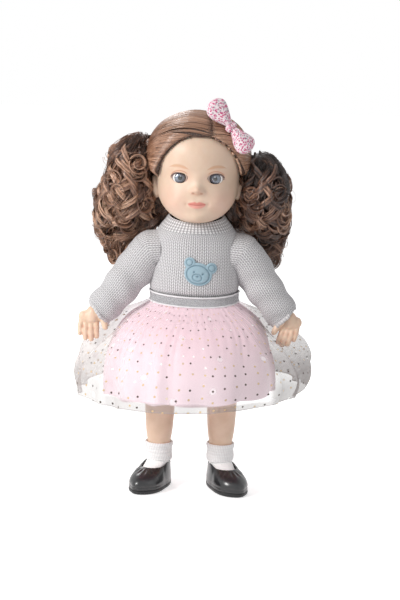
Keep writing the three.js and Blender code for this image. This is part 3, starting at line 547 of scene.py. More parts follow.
# Painted light: a faint glow of the white's own.
white.set(Emission_Color=(1, 1, 1, 1), Emission_Strength=0.12)
blue = Paint("eye_blue", Roughness=0.3, Coat_Weight=1.0, Coat_Roughness=0.03)
x, y, z = blue.place()
turn = blue.math("ARCTAN2", z - EYE_Z, abs(x) - EYE_X)
far = ((abs(x) - EYE_X) ** 2 + (z - EYE_Z) ** 2) ** 0.5 / IRIS
rays = blue.noise(1.0, at=blue.point(turn * 7, far * 1.6, 0.0), detail=3)
iris = blue.mix(blue.ease(rays, 0.3, 0.72), (112, 122, 140), (172, 182, 200))
iris = blue.mix(blue.ease(far, 0.76, 0.96), iris, (52, 56, 66))
iris = blue.mix(blue.ease(far, 0.44, 0.36), iris, (8, 8, 10))
# Painted highlight: a white catchlight on the iris above the pupil.
spark = blue.ease((((abs(x) - EYE_X) + 0.4) ** 2 + (z - EYE_Z - 2.3) ** 2) ** 0.5, 1.2, 0.6)
blue.set(Base_Color=blue.mix(spark * 0.9, iris, (250, 250, 252)))
clear = Paint("eye_clear")
glass = clear.node("ShaderNodeBsdfGlossy", {"Color": (1, 1, 1, 1), "Roughness": 0.05})
see = clear.node("ShaderNodeBsdfTransparent", {"Color": (1, 1, 1, 1)})
rim = clear.node("ShaderNodeFresnel", {"IOR": 1.42})
both = clear.node("ShaderNodeMixShader", {0: rim.outputs[0], 1: see.outputs[0], 2: glass.outputs[0]})
clear.tree.links.new(both.outputs[0], clear.output.inputs["Surface"])


def slice_ball(name, at, radius, from_y, to_y, paint, segments=64):
    """The part of a ball between two planes across Y."""
    made = ball(name, at, (radius, radius, radius), segments, (90, 0, 0))
    bpy.ops.object.mode_set(mode="EDIT")
    for plane, clear_out in ((from_y, -1), (to_y, 1)):
        if plane is None:
            continue
        bpy.ops.mesh.select_all(action="SELECT")
        bpy.ops.mesh.bisect(
            plane_co=(0, plane * MM, 0), plane_no=(0, 1, 0), use_fill=True,
            clear_inner=clear_out < 0, clear_outer=clear_out > 0,
        )
    bpy.ops.object.mode_set(mode="OBJECT")
    made.data.materials.append(paint.material)
    bpy.ops.object.shade_smooth_by_angle(angle=math.radians(40))
    return made


iris_plane = EYE_Y - (EYEBALL**2 - IRIS**2) ** 0.5
for name, s in (("left", 1), ("right", -1)):
    at = (s * EYE_X, EYE_Y, EYE_Z)
    globe = slice_ball(f"eyeball_{name}", at, EYEBALL, iris_plane, None, white)
    disc = slice_ball(f"iris_{name}", at, EYEBALL, None, iris_plane - 0.02, blue)
    dome = slice_ball(f"cornea_{name}", at, EYEBALL + 0.25, None, iris_plane - 0.02, clear)
    parts = ((globe, "globe", "eye_white"), (disc, "iris", "eye_blue"), (dome, "lens", "eye_clear"))
    for piece, node, slot in parts:
        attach(piece, "head")
        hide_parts(f"eye_{node}_{name}")

# Hair on the head: brown synthetic strands rooted in the vinyl, parted above the left eye and
# combed flat from the parting and the hairline to a tie at each side.
TIE_AT = {1: np.array([66.0, 14.0, 392.5]), -1: np.array([-66.0, 14.0, 392.5])}
SCALP_ROWS = [
    [-6, 34, -6, 32, 0], [12, 42, -28, 50, 0], [24, 49, -44, 60, 0], [40, 55, -52, 66, 0],
    [56, 59.4, -54, 68.5, 0], [72, 60.4, -55.5, 69, 0], [86, 58.6, -54.5, 67, 0],
    [100, 52, -49.5, 60, 0], [112, 41, -39, 49, 0], [120, 27, -26, 36, 0], [125.4, 0, 4, 4, 0],
]
EAR_TOP, EAR_BACK = 50.8, 12
WINDOW_X, WINDOW_H = 2, 46.5
luck = np.random.default_rng(11)

hair = Paint("hair", Roughness=0.3, Specular_IOR_Level=0.9)
strand, along = hair.flat_place(1)
HAIR_TONES = [
    (0.0, (44, 28, 22)), (0.3, (86, 58, 45)), (0.6, (134, 95, 75)), (0.85, (178, 135, 108)),
    (1.0, (220, 180, 152)),
]
# Painted shade: each strand is darker near its root at the tie, where the hair lies in shade.
shaded_towards_tie = strand - (1 - hair.ease(along, 0, 0.6)) * 0.44
hair.set(Base_Color=hair.node("ShaderNodeValToRGB", {0: shaded_towards_tie}, stops=HAIR_TONES).outputs[0])
# Painted shade: the dark brown on the scalp under the strands and in the middle of each bunch stands for hair
# in shade.
shade_fill_hair = Paint("hair_under", color=(66, 46, 39), Roughness=0.5)
x, y, z = shade_fill_hair.place()
fine = shade_fill_hair.noise(1.0, at=shade_fill_hair.point(x * 0.9, y * 0.9, z * 0.07), detail=3)
shade_fill_hair.set(Base_Color=shade_fill_hair.mix(shade_fill_hair.ease(fine, 0.38, 0.62), (34, 22, 17), (92, 64, 50)))
shade_fill_hair.bump(fine, 0.0016, 0.8)


def thicken(made, wall):
    """Gives a surface a wall, in millimetres, on its inner side."""
    finish_with(made, ("SOLIDIFY", {"thickness": wall * MM, "offset": -1}))


def nearness_to_edge(points):
    """How far a point of the cap lies inside the face window, the neck and the ears: 0 at the hairline."""
    x, y, h = points[..., 0], points[..., 1], points[..., 2] - CHIN
    window = np.sqrt(((x - WINDOW_X) / 48) ** 2 + ((h - WINDOW_H) / 53) ** 2)
    face = np.maximum((window - 1) * 50, (y + 4) * 0.9)
    ear = np.maximum(h - EAR_TOP, y - EAR_BACK)
    return np.minimum(face, np.where((h < EAR_TOP) & (y < EAR_BACK), -1, np.maximum(ear, 0)))


cap_grid = rings(SCALP_ROWS, even_heights(-6, 125.3, 90), 180)
cap = from_grid("scalp_hair", cap_grid + UP_TO_CHIN, shade_fill_hair, ends=(True, True))
skull = BVHTree.FromObject(head, bpy.context.evaluated_depsgraph_get())
centre = Vector((0, 6, CHIN + 62)) * MM
for v in cap.data.vertices:
    away = (v.co - centre).normalized()
    hit = skull.ray_cast(centre + away * 0.16, -away, 0.16)[0]
    if hit is None:
        continue
    edge = float(nearness_to_edge(np.array(v.co) / MM))
    share = min(max(edge / 9, 0), 1) ** 0.6
    floor_at = (hit - centre).length + 0.0007
    v.co = centre + away * (floor_at + max((v.co - centre).length - floor_at, 0) * share)
take(cap)
bpy.ops.object.mode_set(mode="EDIT")
bpy.ops.mesh.select_all(action="DESELECT")
bpy.ops.object.mode_set(mode="OBJECT")
for v in cap.data.vertices:
    v.select = bool(nearness_to_edge(np.array(v.co) / MM) < -0.4)
bpy.ops.object.mode_set(mode="EDIT")
bpy.ops.mesh.select_mode(type="VERT")
bpy.ops.mesh.delete(type="VERT")
bpy.ops.object.mode_set(mode="OBJECT")
thicken(cap, 1.8)
scalp = BVHTree.FromObject(cap, bpy.context.evaluated_depsgraph_get())


def unit(arrows):
    """The same directions with a length of 1."""
    return arrows / (np.linalg.norm(arrows, axis=-1, keepdims=True) + 1e-9)


def strands(name, paths, thickness, tones, sides=3, taper=0.35):
    """Thin tapering tubes along paths in millimetres, all with the same number of points."""
    count, length = paths.shape[:2]
    ahead = unit(np.gradient(paths, axis=1))
    up = np.where(np.abs(ahead[..., 2:3]) > 0.9, np.array([1.0, 0, 0]), np.array([0, 0, 1.0]))
    across = unit(np.cross(ahead, up))
    other = np.cross(ahead, across)
    t = np.linspace(0, 1, length)
    thin = np.minimum(1, np.minimum(t, 1 - t) / taper * 0.8 + 0.2)
    radius = np.asarray(thickness, float).reshape(-1, 1) * thin[None, :]
    angle = np.linspace(0, 2 * np.pi, sides, endpoint=False)
    ring = across[:, :, None] * np.cos(angle)[:, None] + other[:, :, None] * np.sin(angle)[:, None]
    points = (paths[:, :, None] + ring * radius[:, :, None, None]).reshape(-1, 3) * MM
    first = (np.arange(count) * length * sides)[:, None, None]
    first = first + (np.arange(length - 1) * sides)[None, :, None]
    j = np.arange(sides)[None, None, :]
    k = (j + 1) % sides
    quads = np.stack([first + j, first + sides + j, first + sides + k, first + k], -1).reshape(-1, 4)
    start = (np.arange(count) * length * sides)[:, None] + np.arange(sides)[None, :]
    end = start + (length - 1) * sides
    loops = np.concatenate([quads.ravel(), start.ravel(), end[:, ::-1].ravel()])
    sizes = np.concatenate([np.full(len(quads), 4), np.full(2 * count, sides)])
    mesh = bpy.data.meshes.new(name)
    mesh.vertices.add(len(points))
    mesh.vertices.foreach_set("co", points.ravel())
    mesh.loops.add(len(loops))
    mesh.loops.foreach_set("vertex_index", loops.astype(np.int32))
    mesh.polygons.add(len(sizes))
    mesh.polygons.foreach_set("loop_start", (np.cumsum(sizes) - sizes).astype(np.int32))
    mesh.polygons.foreach_set("use_smooth", np.ones(len(sizes), bool))
    layer = mesh.uv_layers.new(name="cut")
    uv = np.stack([np.repeat(tones, length * sides), np.tile(np.repeat(t, sides), count)], 1)
    layer.data.foreach_set("uv", uv[loops].ravel())
    mesh.update(calc_edges=True)
    mesh.validate()
    mesh.materials.append(hair.material)
    made = bpy.data.objects.new(name, mesh)
    scene.collection.objects.link(made)
    return made


def over_scalp(direction, lift):
    """The point of the scalp in a direction from the middle of the head, lifted a little."""
    away = Vector(direction).normalized()
    hit = scalp.ray_cast(centre + away * 0.16, -away, 0.16)[0]
    if hit is None:
        hit = skull.ray_cast(centre + away * 0.16, -away, 0.16)[0]
    if hit is None:
        return np.array(centre / MM) + np.array(away) * 55
    return np.array(hit / MM) + np.array(away) * lift


def comb(start, side, lift, steps=19):
    """A path over the scalp from a start direction to the tie of one side."""
    target = (TIE_AT[side] + luck.normal(0, 2.2, 3)) / 1000 - np.array(centre)
    goal = target / np.linalg.norm(target)
    a = start / np.linalg.norm(start)
    angle = math.acos(float(np.clip(np.dot(a, goal), -1, 1)))
    path = []
    for t in np.linspace(0, 1, steps):
        share = (math.sin((1 - t) * angle) * a + math.sin(t * angle) * goal) / max(math.sin(angle), 1e-4)
        rise = lift * (0.25 + 0.75 * min(1, t * 5)) if t < 0.9 else lift * (1 - (t - 0.9) * 4)
        path.append(over_scalp(share, rise))
    return path


def ahead_of_face(across, up):
    """A point well in front of the face, measured from the middle of the face window."""
    return Vector((WINDOW_X + across, -100, CHIN + WINDOW_H + up))


combed = []
for side in (1, -1):
    for t in np.linspace(0, 1, 370):
        turn = math.radians(37 + t * 205)
        lean = float(np.interp(t, [0, 0.3, 0.7, 1], [0.25, 0.17, 0.02, 0]))
        start = np.array([lean, -math.cos(turn), math.sin(turn)]) + luck.normal(0, 0.008, 3)
        combed.append(comb(start, side, 0.5 + luck.random() * 0.9))
    for t in np.linspace(0, 1, 260):
        around = math.radians(78 - t * 76)
        edge = ahead_of_face(side * 47.2 * math.cos(around), 52.3 * math.sin(around))
        hit = skull.ray_cast(edge * MM, Vector((0, 1, 0)))[0] or Vector((edge.x, -8, edge.z)) * MM
        combed.append(comb(np.array((hit - centre) / MM), side, 0.5 + luck.random() * 0.9))
    for t in np.linspace(0, 1, 120):
        start = np.array([side * 36 * (1 - t), 6 + 48 * t ** 0.7, -62 - 4 * t]) + luck.normal(0, 0.6, 3)
        combed.append(comb(start, side, 0.35 + luck.random() * 0.8))
count = len(combed)
tones = np.clip(0.76 + 0.06 * np.sin(np.arange(count) * 0.21) + luck.normal(0, 0.09, count), 0.02, 1)
combed = np.array(combed)[:, ::-1]
combed_hair = strands("combed_hair", combed, 0.42 + luck.random(count) * 0.22, tones, taper=0.08)
edge_path = []
for t in np.linspace(0, 1, 30):
    around = math.radians(74 - t * 66)
    seen = ahead_of_face(48.6 * math.cos(around), 53.6 * math.sin(around))
    hit = scalp.ray_cast(seen * MM, Vector((0, 1, 0)))[0]
    if hit is not None:
        edge_path.append(np.array(hit / MM) + np.array([0, -1.2, 0.4]))
edge_path = np.array(edge_path)
ply = []
for k in range(6):
    wind = np.linspace(0, 2 * np.pi * 11, len(edge_path) * 4) + k * np.pi / 3
    at, known = np.linspace(0, 1, len(wind)), np.linspace(0, 1, len(edge_path))
    dense = np.stack([np.interp(at, known, edge_path[:, c]) for c in range(3)], 1)
    ply.append(dense + np.stack([np.cos(wind), np.sin(wind) * 0.6, np.sin(wind)], 1) * 0.8)
ply_tones = np.linspace(0.85, 1, 6)
twisted = strands("hairline_twist", np.array(ply), np.full(6, 0.55), ply_tones, sides=4, taper=0.05)
for piece in (cap, combed_hair, twisted):
    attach(piece, "head")
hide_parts("hair_cap")

# Bunches: each is the gathered hair below its tie, set in long loose ringlets that stand out at
# the side of the face and lie on the shoulder. A dark mass, painted shade for the hair deep inside, fills the
# middle.
BUNCH_ROWS = {
    1: [
        [-68, 6, 40, 52, 77], [-59, 15, 31, 62, 78], [-39, 24, 27.5, 69, 79], [-20, 28, 26.5, 68, 79],
        [-6, 29, -1, 58, 79], [11, 29, -15, 52, 79], [31, 30, -21, 49, 78], [50, 27, -20, 46, 77],
        [65, 22, -13, 39, 75], [76, 12, -3, 28, 76],
    ],
    -1: [
        [-66, 5, 40, 50, -90], [-54, 12, 31, 62, -86], [-37, 24, 27.5, 71, -84], [-19, 35, 26.5, 70, -86],
        [-5, 37, -1, 62, -85], [11, 36, -14, 55, -85], [31, 32, -21, 50, -83], [55, 27, -21, 48, -79],
        [75, 25, -18, 44, -78], [87, 20, -9, 37, -71], [95, 11, 3, 25, -64],
    ],
}
WAVES = 44
RINGLETS = 40
SWIRLS = 28
NAPE_CURLS = 13
NAPE_TOP = 392
STRAYS = 110
STRANDS_EACH = 12
POINTS = 41


def points_of(made):
    """The places of all of a piece's corners, in millimetres."""
    return np.array([v.co[:] for v in made.data.vertices]) / MM


def move_points(made, points):
    """Puts a piece's corners at new places, in millimetres."""
    made.data.vertices.foreach_set("co", (points * MM).ravel())


def on_bunch(side, height, angle, share):
    """Points at some heights and angles on a bunch, or inside it where the share is under 1."""
    height = np.atleast_1d(height)
    half, deep, y, x = smooth_rows(BUNCH_ROWS[side], height, False).T
    return np.stack([x + half * share * np.cos(angle), y + deep * share * np.sin(angle), CHIN + height], 1)


def through(points, count):
    """A smooth path of evenly spaced points through a few given ones."""
    points = np.asarray(points, float)
    padded = np.vstack([2 * points[0] - points[1], points, 2 * points[-1] - points[-2]])
    out = []
    for i in range(1, len(padded) - 2):
        a, b, c, d = padded[i - 1 : i + 3]
        for t in np.linspace(0, 1, 12, endpoint=False):
            bow = (2 * a - 5 * b + 4 * c - d) * t**2 + (3 * b - a - 3 * c + d) * t**3
            out.append(0.5 * (2 * b + (c - a) * t + bow))
    out.append(padded[-2])
    out = np.array(out)
    far = np.concatenate([[0], np.cumsum(np.linalg.norm(np.diff(out, axis=0), axis=1))])
    even = np.linspace(0, far[-1], count)
    return np.stack([np.interp(even, far, out[:, k]) for k in range(3)], 1), far[-1]


def beside(path, aside=(0.31, 0.87, 0.37)):
    """The direction along a path and two directions square to it, point by point."""
    ahead = unit(np.gradient(path, axis=0))
    across = unit(np.cross(ahead, aside))
    return ahead, across, np.cross(ahead, across)


def ringlet(path, length, wide, pitch, ribbon, count, phase, hand):
    """A flat ribbon of strands wound round a path in an even curl that opens at the end."""
    ahead, across, other = beside(path)
    t = np.linspace(0, 1, len(path))
    open_out = wide * np.minimum(1, t * 3 + 0.06) * (1 + 0.18 * t)
    wind = hand * 2 * np.pi * t * length / pitch + phase
    made = []
    for i in range(count):
        apart = i / max(count - 1, 1) - 0.5
        turn = wind + luck.normal(0, 0.05)
        out = open_out + (luck.normal(0, 0.35) - 1.2 * apart**2 * 4)
        slide = apart * ribbon * np.minimum(1, t * 4 + 0.1)
        stray = luck.normal(0, 1.0, 3) * (t**4)[:, None]
        curl = across * (np.cos(turn) * out)[:, None] + other * (np.sin(turn) * out)[:, None]
        made.append(path + curl + ahead * slide[:, None] + stray)
    return made


def swirl(middle, outward, size, turns, ribbon, count, hand, lead):
    """A lock that comes from above and curls up into a flat spring facing outwards."""
    outward = unit(outward)
    sideways = unit(np.cross([0, 0, 1.0], outward))
    up = np.cross(outward, sideways)
    turn = np.linspace(0, 2 * np.pi * turns, 40)
    reach = size * (1 - 0.72 * turn / turn[-1])
    spin = hand * turn
    coil = middle + sideways * (hand * np.cos(spin) * reach)[:, None]
    coil = coil - up * (hand * np.sin(spin) * reach)[:, None] + outward * (3.5 * turn / turn[-1])[:, None]
    tie = TIE_AT[1 if middle[0] > 0 else -1]
    leave = coil[0] + up * lead + (tie - middle) * 0.1 - outward * 9
    arrive = coil[0] + up * lead * 0.4 - outward * 2
    path = through(np.vstack([leave, arrive, coil[::2]]), POINTS)[0]
    made = []
    for i in range(count):
        apart = i / max(count - 1, 1) - 0.5
        away = path - middle
        away = unit(away - outward * (away @ outward)[:, None])
        shift = away * (apart * ribbon * 0.35 + luck.normal(0, 0.3))
        made.append(path + shift + outward * (apart * ribbon + luck.normal(0, 0.2)))
    return made


def spun():
    """A start angle and a turning direction, by chance."""
    return luck.uniform(0, 6.28), luck.choice([-1, 1])


def clear_of(points, rows, y):
    """Level directions away from a bunch's upright middle line."""
    out = points - np.array([rows[:, 4].mean(), y, 0])
    out[:, 2] = 0
    return unit(out)


class Locks:
    """All the strands of one bunch, with each one's thickness and tone."""

    def __init__(self):
        self.paths, self.sizes, self.tones = [], [], []

    def add(self, made, tone, ripple, spread, thickness=None):
        """Adds a lock. Its strands' thickness may have been drawn before its tone."""
        count = len(made)
        self.paths += made
        self.sizes += list(0.5 + (luck.random(count) if thickness is None else thickness) * 0.25)
        wave = ripple * np.sin(np.arange(count) * 0.9)
        self.tones += list(np.clip(tone + wave + luck.normal(0, spread, count), 0, 1))


for name, side in (("left", 1), ("right", -1)):
    tie = TIE_AT[side]
    rows = np.array(BUNCH_ROWS[side])
    low, high = rows[0, 0], rows[-1, 0]
    inner_rows = [[h, w * 0.8, f * 0.8 + b * 0.2, b * 0.85 + f * 0.15, x] for h, w, f, b, x in rows]
    core_grid = rings(inner_rows, even_heights(low + 0.1, high - 0.1, 60), 72, squared=False)
    core = from_grid(f"bunch_core_{name}", core_grid + UP_TO_CHIN, shade_fill_hair, ends=(True, True))
    nape = ball("bunch_core", (side * 40, 22, CHIN + 15), (19, 14, 30), 32)
    nape.data.materials.append(shade_fill_hair.material)
    core = join(f"bunch_core_{name}", core, nape)
    lumps = points_of(core)
    swell = 2.2 * np.sin(lumps[:, 2] / 6.5 + 2.2 * np.sin(lumps[:, 0] / 13))
    swell = swell * np.cos(lumps[:, 1] / 9 + lumps[:, 0] / 11)
    move_points(core, lumps + clear_of(lumps, rows, 20) * (swell - 1.5)[:, None])
    core.data.update()
    locks = Locks()
    for i in range(WAVES):
        angle = 2 * np.pi * (i * 0.618 % 1)
        heights = np.linspace(high - luck.uniform(1, 9), low + luck.uniform(3, 26), 24)
        swing = heights / luck.uniform(6.2, 7.8) + luck.uniform(0, 6.28)
        veer = angle + luck.normal(0, 0.1) * np.linspace(0, 1, 24) + 0.19 * np.sin(swing)
        body = on_bunch(side, heights, veer, 0.89 + 0.08 * np.cos(swing))
        over = (tie + body[0]) / 2 + np.array([0, 0, 4])
        path = through([tie, tie + np.array([side * 5, 0, 3]), over, *body], POINTS)[0]
        flat = unit(np.cross(beside(path)[0], clear_of(path, rows, 16)))
        t = np.linspace(0, 1, POINTS)
        # Painted shade: the waves lie under the ringlets and get a darker tone, darker still in the left
        # bunch, on the side away from the lamp.
        tone = 0.54 - 0.16 * side + luck.normal(0, 0.12)
        for k in range(STRANDS_EACH):
            wide = (k / (STRANDS_EACH - 1) - 0.5) * 9.5 * np.minimum(1, t * 5 + 0.15)
            beside_it = path + flat * wide[:, None] + luck.normal(0, 0.45, 3)
            locks.paths.append(beside_it + luck.normal(0, 1.4, 3) * (t**4)[:, None])
            locks.sizes.append(0.5 + luck.random() * 0.2)
            locks.tones.append(np.clip(tone + 0.16 * math.sin(k * 0.9 + i) + luck.normal(0, 0.06), 0, 1))
    for i in range(RINGLETS):
        inner = i % 4 == 3
        angle = luck.uniform(0, 2 * np.pi) if i % 2 else luck.normal(-np.pi / 2, 0.9)
        wide = luck.uniform(7.5, 11)
        top = luck.uniform(low + 0.5 * (high - low), high - 8)
        if i % 4 == 0:
            top = high - 14 - luck.random() * 12
        bottom = max(top - luck.uniform(60, 120), low + luck.uniform(8, 24))
        heights = np.linspace(top, bottom, 6)
        veer = angle + np.linspace(0, luck.normal(0, 0.35), 6)
        body = on_bunch(side, heights, veer, (0.8 if inner else 1.0) - wide / 40)
        up = tie + np.array([side * luck.uniform(3, 9), luck.uniform(-4, 5), luck.uniform(-3, 7)])
        rise = (up + body[0]) / 2 + np.array([0, 0, max(6, (body[0][2] - up[2]) * 0.25)])
        path, length = through([tie, up, rise, *body], POINTS)
        pitch, ribbon = luck.uniform(36, 46), luck.uniform(5, 9)
        made = ringlet(path, length, wide, pitch, ribbon, STRANDS_EACH, *spun())
        thickness = luck.random(STRANDS_EACH)
        # Painted shade: ringlets inside the bunch get a darker tone, and the left bunch, away from the lamp,
        # a darker one than the right.
        tone = np.clip((0.42 if inner else 0.68) - 0.15 * side + luck.normal(0, 0.15), 0.05, 0.95)
        locks.add(made, tone, 0.2, 0.06, thickness)
    for i in range(SWIRLS):
        angle = -np.pi / 2 + (i % 5 - 2) * 0.48 + luck.normal(0, 0.1) if i < 16 else luck.uniform(0, np.pi)
        height = low + 14 + (i * 0.618 % 1) * (high - low - 38)
        size = luck.uniform(9, 13)
        middle = on_bunch(side, height, angle, 0.94)[0]
        outward = np.array([math.cos(angle), math.sin(angle) * 1.2, luck.normal(0, 0.25)])
        turns, ribbon = luck.uniform(1.3, 1.9), luck.uniform(6, 9)
        hand, lead = luck.choice([-1, 1]), luck.uniform(12, 22)
        made = swirl(middle, outward, size, turns, ribbon, STRANDS_EACH, hand, lead)
        thickness = luck.random(STRANDS_EACH)
        # Painted shade: the left bunch, away from the lamp, gets darker swirls.
        locks.add(made, 0.68 - 0.14 * side + luck.normal(0, 0.12), 0.22, 0.06, thickness)
    for i in range(NAPE_CURLS):
        start = tie + np.array([-side * luck.uniform(4, 12), luck.uniform(8, 16), luck.uniform(-12, 2)])
        down = luck.uniform(64, 96)
        inward = luck.uniform(34, 54)
        body = [start, start + np.array([-side * 6, 2, -22])]
        body.append(np.array([side * inward, luck.uniform(6, 26), NAPE_TOP - down * 0.72]))
        body.append(np.array([side * (inward + luck.uniform(-2, 8)), luck.uniform(8, 30), NAPE_TOP - down]))
        path, length = through(body, POINTS)
        wide, pitch = luck.uniform(4.5, 7), luck.uniform(24, 32)
        # Painted shade: the curls at the nape, behind the bunch, get a dark tone.
        locks.add(ringlet(path, length, wide, pitch, 8, STRANDS_EACH, *spun()), 0.36, 0, 0.1)
    for i in range(STRAYS):
        angle = luck.uniform(0, 2 * np.pi)
        top = luck.uniform(low + 10, high - 2)
        heights = np.maximum(top - np.linspace(0, luck.uniform(18, 46), 4), low + 1)
        body = []
        for k, height in enumerate(heights):
            veer = angle + k * luck.normal(0, 0.14)
            body.append(on_bunch(side, height, veer, luck.uniform(0.96, 1.05))[0])
        path, length = through(body, POINTS)
        wide, pitch = luck.uniform(4, 9), luck.uniform(30, 48)
        locks.paths += ringlet(path, length, wide, pitch, 0, 1, luck.uniform(0, 6.28), 1)
        locks.sizes.append(0.3)
        locks.tones.append(luck.uniform(0.6, 1))
    pieces = [core]
    paths, sizes, tones = np.array(locks.paths), np.array(locks.sizes), np.array(locks.tones)
    for k, group in enumerate(np.array_split(luck.permutation(len(paths)), 3)):
        pieces.append(strands(f"ringlets_{name}_{k + 1}", paths[group], sizes[group], tones[group]))
    for piece in pieces:
        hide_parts(f"hair_bunch_{name}")
        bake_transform(piece)

# Bow: two padded loops of white cotton printed with small pink flowers, drawn in by a narrow
# knot and held beside the parting by a clip behind.
print_cotton = Paint("bow_print", Roughness=0.8)
across, along = print_cotton.flat_place()
away, which = print_cotton.cells(print_cotton.point(across / 2.5, along / 2.5))
petal = print_cotton.noise(1.0, at=print_cotton.point(across * 1.1, along * 1.1), detail=2)
flower = print_cotton.ease(away * 3.1 + petal * 1.4, 2.3, 1.6)
flower_tone = print_cotton.mix(print_cotton.ease(which, 0.36, 0.38), (196, 62, 122), (228, 148, 176))
flower_tone = print_cotton.mix(print_cotton.ease(which, 0.68, 0.7), flower_tone, (176, 170, 178))
border = print_cotton.noise(1.0, at=print_cotton.point(across * 0.12, along * 0.09, 3.0), detail=1)
flower_tone = print_cotton.mix(print_cotton.ease(border, 0.52, 0.6) * 0.8, flower_tone, (200, 54, 118))
leafy = print_cotton.noise(1.0, at=print_cotton.point(across * 0.9, along * 0.9, 7.0), detail=3)
sprig = print_cotton.ease(leafy, 0.46, 0.58)
cotton = print_cotton.mix(sprig * 0.7, (248, 242, 243), (222, 168, 186))
flowers = flower * print_cotton.ease(which, 0.12, 0.14)
print_cotton.set(Base_Color=print_cotton.mix(flowers, cotton, flower_tone))
print_cotton.bump(print_cotton.noise(260, detail=3), 0.0006, 0.5)

BOW_AT = np.array([36.2, -35.2, CHIN + 110.5])
BOW_PITCH = math.radians(56)
BOW_TILT = math.radians(50)


def bow_place(points):
    """Turns points from the bow's own length, thickness and width to their place on the head."""
    along, thick, wide = points[..., 0], points[..., 1], points[..., 2]
    back = wide * math.cos(BOW_PITCH) - thick * math.sin(BOW_PITCH)
    up = wide * math.sin(BOW_PITCH) + thick * math.cos(BOW_PITCH)
    across = along * math.cos(BOW_TILT) + up * math.sin(BOW_TILT)
    return np.stack([across, back, up * math.cos(BOW_TILT) - along * math.sin(BOW_TILT)], -1) + BOW_AT


loops = {}
for name, s, long, wide in (("lower", 1, 33, 13.6), ("upper", -1, 35, 14.5)):
    around = np.linspace(0, 2 * np.pi, 72, endpoint=False)
    t = np.linspace(0.02, 1, 40)
    grid = np.empty((len(t), len(around), 3))
    for i, at in enumerate(t):
        round_end = math.sqrt(max(1 - max(0, (at - 0.62) / 0.385) ** 2.6, 0.01))
        spread = (3.2 + (wide - 3.2) * math.sin(min(at * 1.25, 1) * math.pi / 2) ** 1.2) * round_end
        full = (3.0 + 5.4 * math.sin(min(at, 0.5) * math.pi) ** 0.8) * round_end**0.8
        crease = 1.2 * np.cos(around * 6 + at * 2) * math.exp(-at * 3) + 0.5 * np.sin(around * 3 + at * 8)
        grid[i, :, 0] = s * (2 + long * at)
        grid[i, :, 1] = (full + crease * 0.6) * np.sin(around)
        grid[i, :, 2] = (spread + crease * 0.5) * np.cos(around)
    uv = np.stack(np.broadcast_arrays((around * 12)[None, :], (t * long + s * 40)[:, None]), 2)
    loop = from_grid(f"bow_{name}_loop", bow_place(grid), print_cotton, ends=(True, True), uv=uv)
    if s > 0:
        loop.data.flip_normals()
    loops[name] = loop
around = np.linspace(0, 2 * np.pi, 40, endpoint=False)
t = np.linspace(-1, 1, 24)
grid = np.empty((len(t), len(around), 3))
for i, at in enumerate(t):
    thick = math.sqrt(max(1 - at**4, 0.02))
    pleat = 0.35 * np.cos(around * 9)
    grid[i, :, 0] = (4.2 * thick + pleat) * np.cos(around)
    grid[i, :, 1] = (4.9 * thick + pleat) * np.sin(around)
    grid[i, :, 2] = 7.5 * at
uv = np.stack(np.broadcast_arrays((around * 4.5 + 90)[None, :], (t * 8)[:, None]), 2)
knot = from_grid("bow_middle", bow_place(grid), print_cotton, ends=(True, True), uv=uv)
bow_parts = {"bow_loop_lower": loops["lower"], "bow_loop_upper": loops["upper"], "bow_knot": knot}
for node, piece in bow_parts.items():
    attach(piece, "head")
    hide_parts(node)

# Sweater: grey machine knit in plain stocking stitch with a wide ribbed collar and set-in
# sleeves. The knit is drawn in the cloth's own lengthwise and crosswise measure.
WALE = 4.4
COURSE = 3.5
KNIT_WALL = 1.6
ARMHOLE = 24.3
SEAM_X = 40.6
SWEATER_ROWS = [
    [229.5, 48.7, -34.3, 34.3, 0], [238.6, 49.2, -35, 35, 0], [241.6, 51.8, -38.2, 38.2, 0],
    [247, 52.6, -39.8, 39.8, 0], [257, 52.2, -40, 39.4, 0], [276, 51, -38.4, 38, 0],
    [296, 50.6, -36.7, 37.2, 0], [304, 49.4, -36.4, 37.3, 0], [309, 47.4, -36.6, 37.4, 0],
    [312.4, 45, -36.9, 37.8, 0], [315.5, 42.6, -37.2, 38, 0],
]
COLLAR_ROWS = [
    [314.6, 43.4, -37.4, 38, 0], [318, 40.4, -36.8, 37.4, 0], [322, 36.4, -35.0, 36.6, 0],
    [325.2, 33.8, -33.4, 36, 0], [326.4, 32.2, -32.2, 35, 0], [325.4, 30.8, -31.0, 34, 0],
    [322, 31.5, -31.4, 34, 0],
]
SHOULDER = np.array([54.0, 0, 286.0])
SLEEVE_PATH = np.array([
    [-13.5, 0, 1], [-1, 0, 0], [7, 0, -9], [15.5, 0, -22], [31, -2, -45], [45.5, -3.5, -64.5], [53, -4, -75],
])
SLEEVE_RADII = [24.0, 24.0, 23.6, 23.2, 22.0, 19.8, 18.2]


def knit(name, ribbed=False, valley_shade_and_top=((156, 153, 156), (242, 241, 243))):
    """Grey yarn in rows of V-shaped stitches, or in raised ribs, with painted shade in the hollows between
    stitches.
    """
    paint = Paint(name, Roughness=0.85, Sheen_Weight=0.25, Sheen_Roughness=0.5)
    across, along = paint.flat_place()
    part = paint.math("FRACT", across / WALE)
    off = abs(part - 0.5) * 2
    slanted = paint.math("FRACT", along / COURSE + off * (0.15 if ribbed else 0.95))
    bead = 1 - abs(slanted - 0.5) * 2
    leg = 1 - off**2 if ribbed else 1 - ((off - 0.5) * 2) ** 2 * 0.95
    height = leg * (0.35 + 0.65 * bead)
    fuzz = paint.noise(900, detail=3)
    dark, light = valley_shade_and_top
    # Painted shade: the yarn is darker where the stitch surface lies low, lighter where it stands up.
    tone = paint.mix(paint.ease(height, 0.12, 0.85), dark, light)
    tone = paint.mix(paint.noise(22, detail=2) * 0.22, tone, (176, 171, 175))
    paint.set(Base_Color=tone)
    paint.bump(height + fuzz * 0.25, 0.0008, 0.8)
    return paint


body_knit = knit("knit")
rib_knit = knit("knit_rib", ribbed=True)


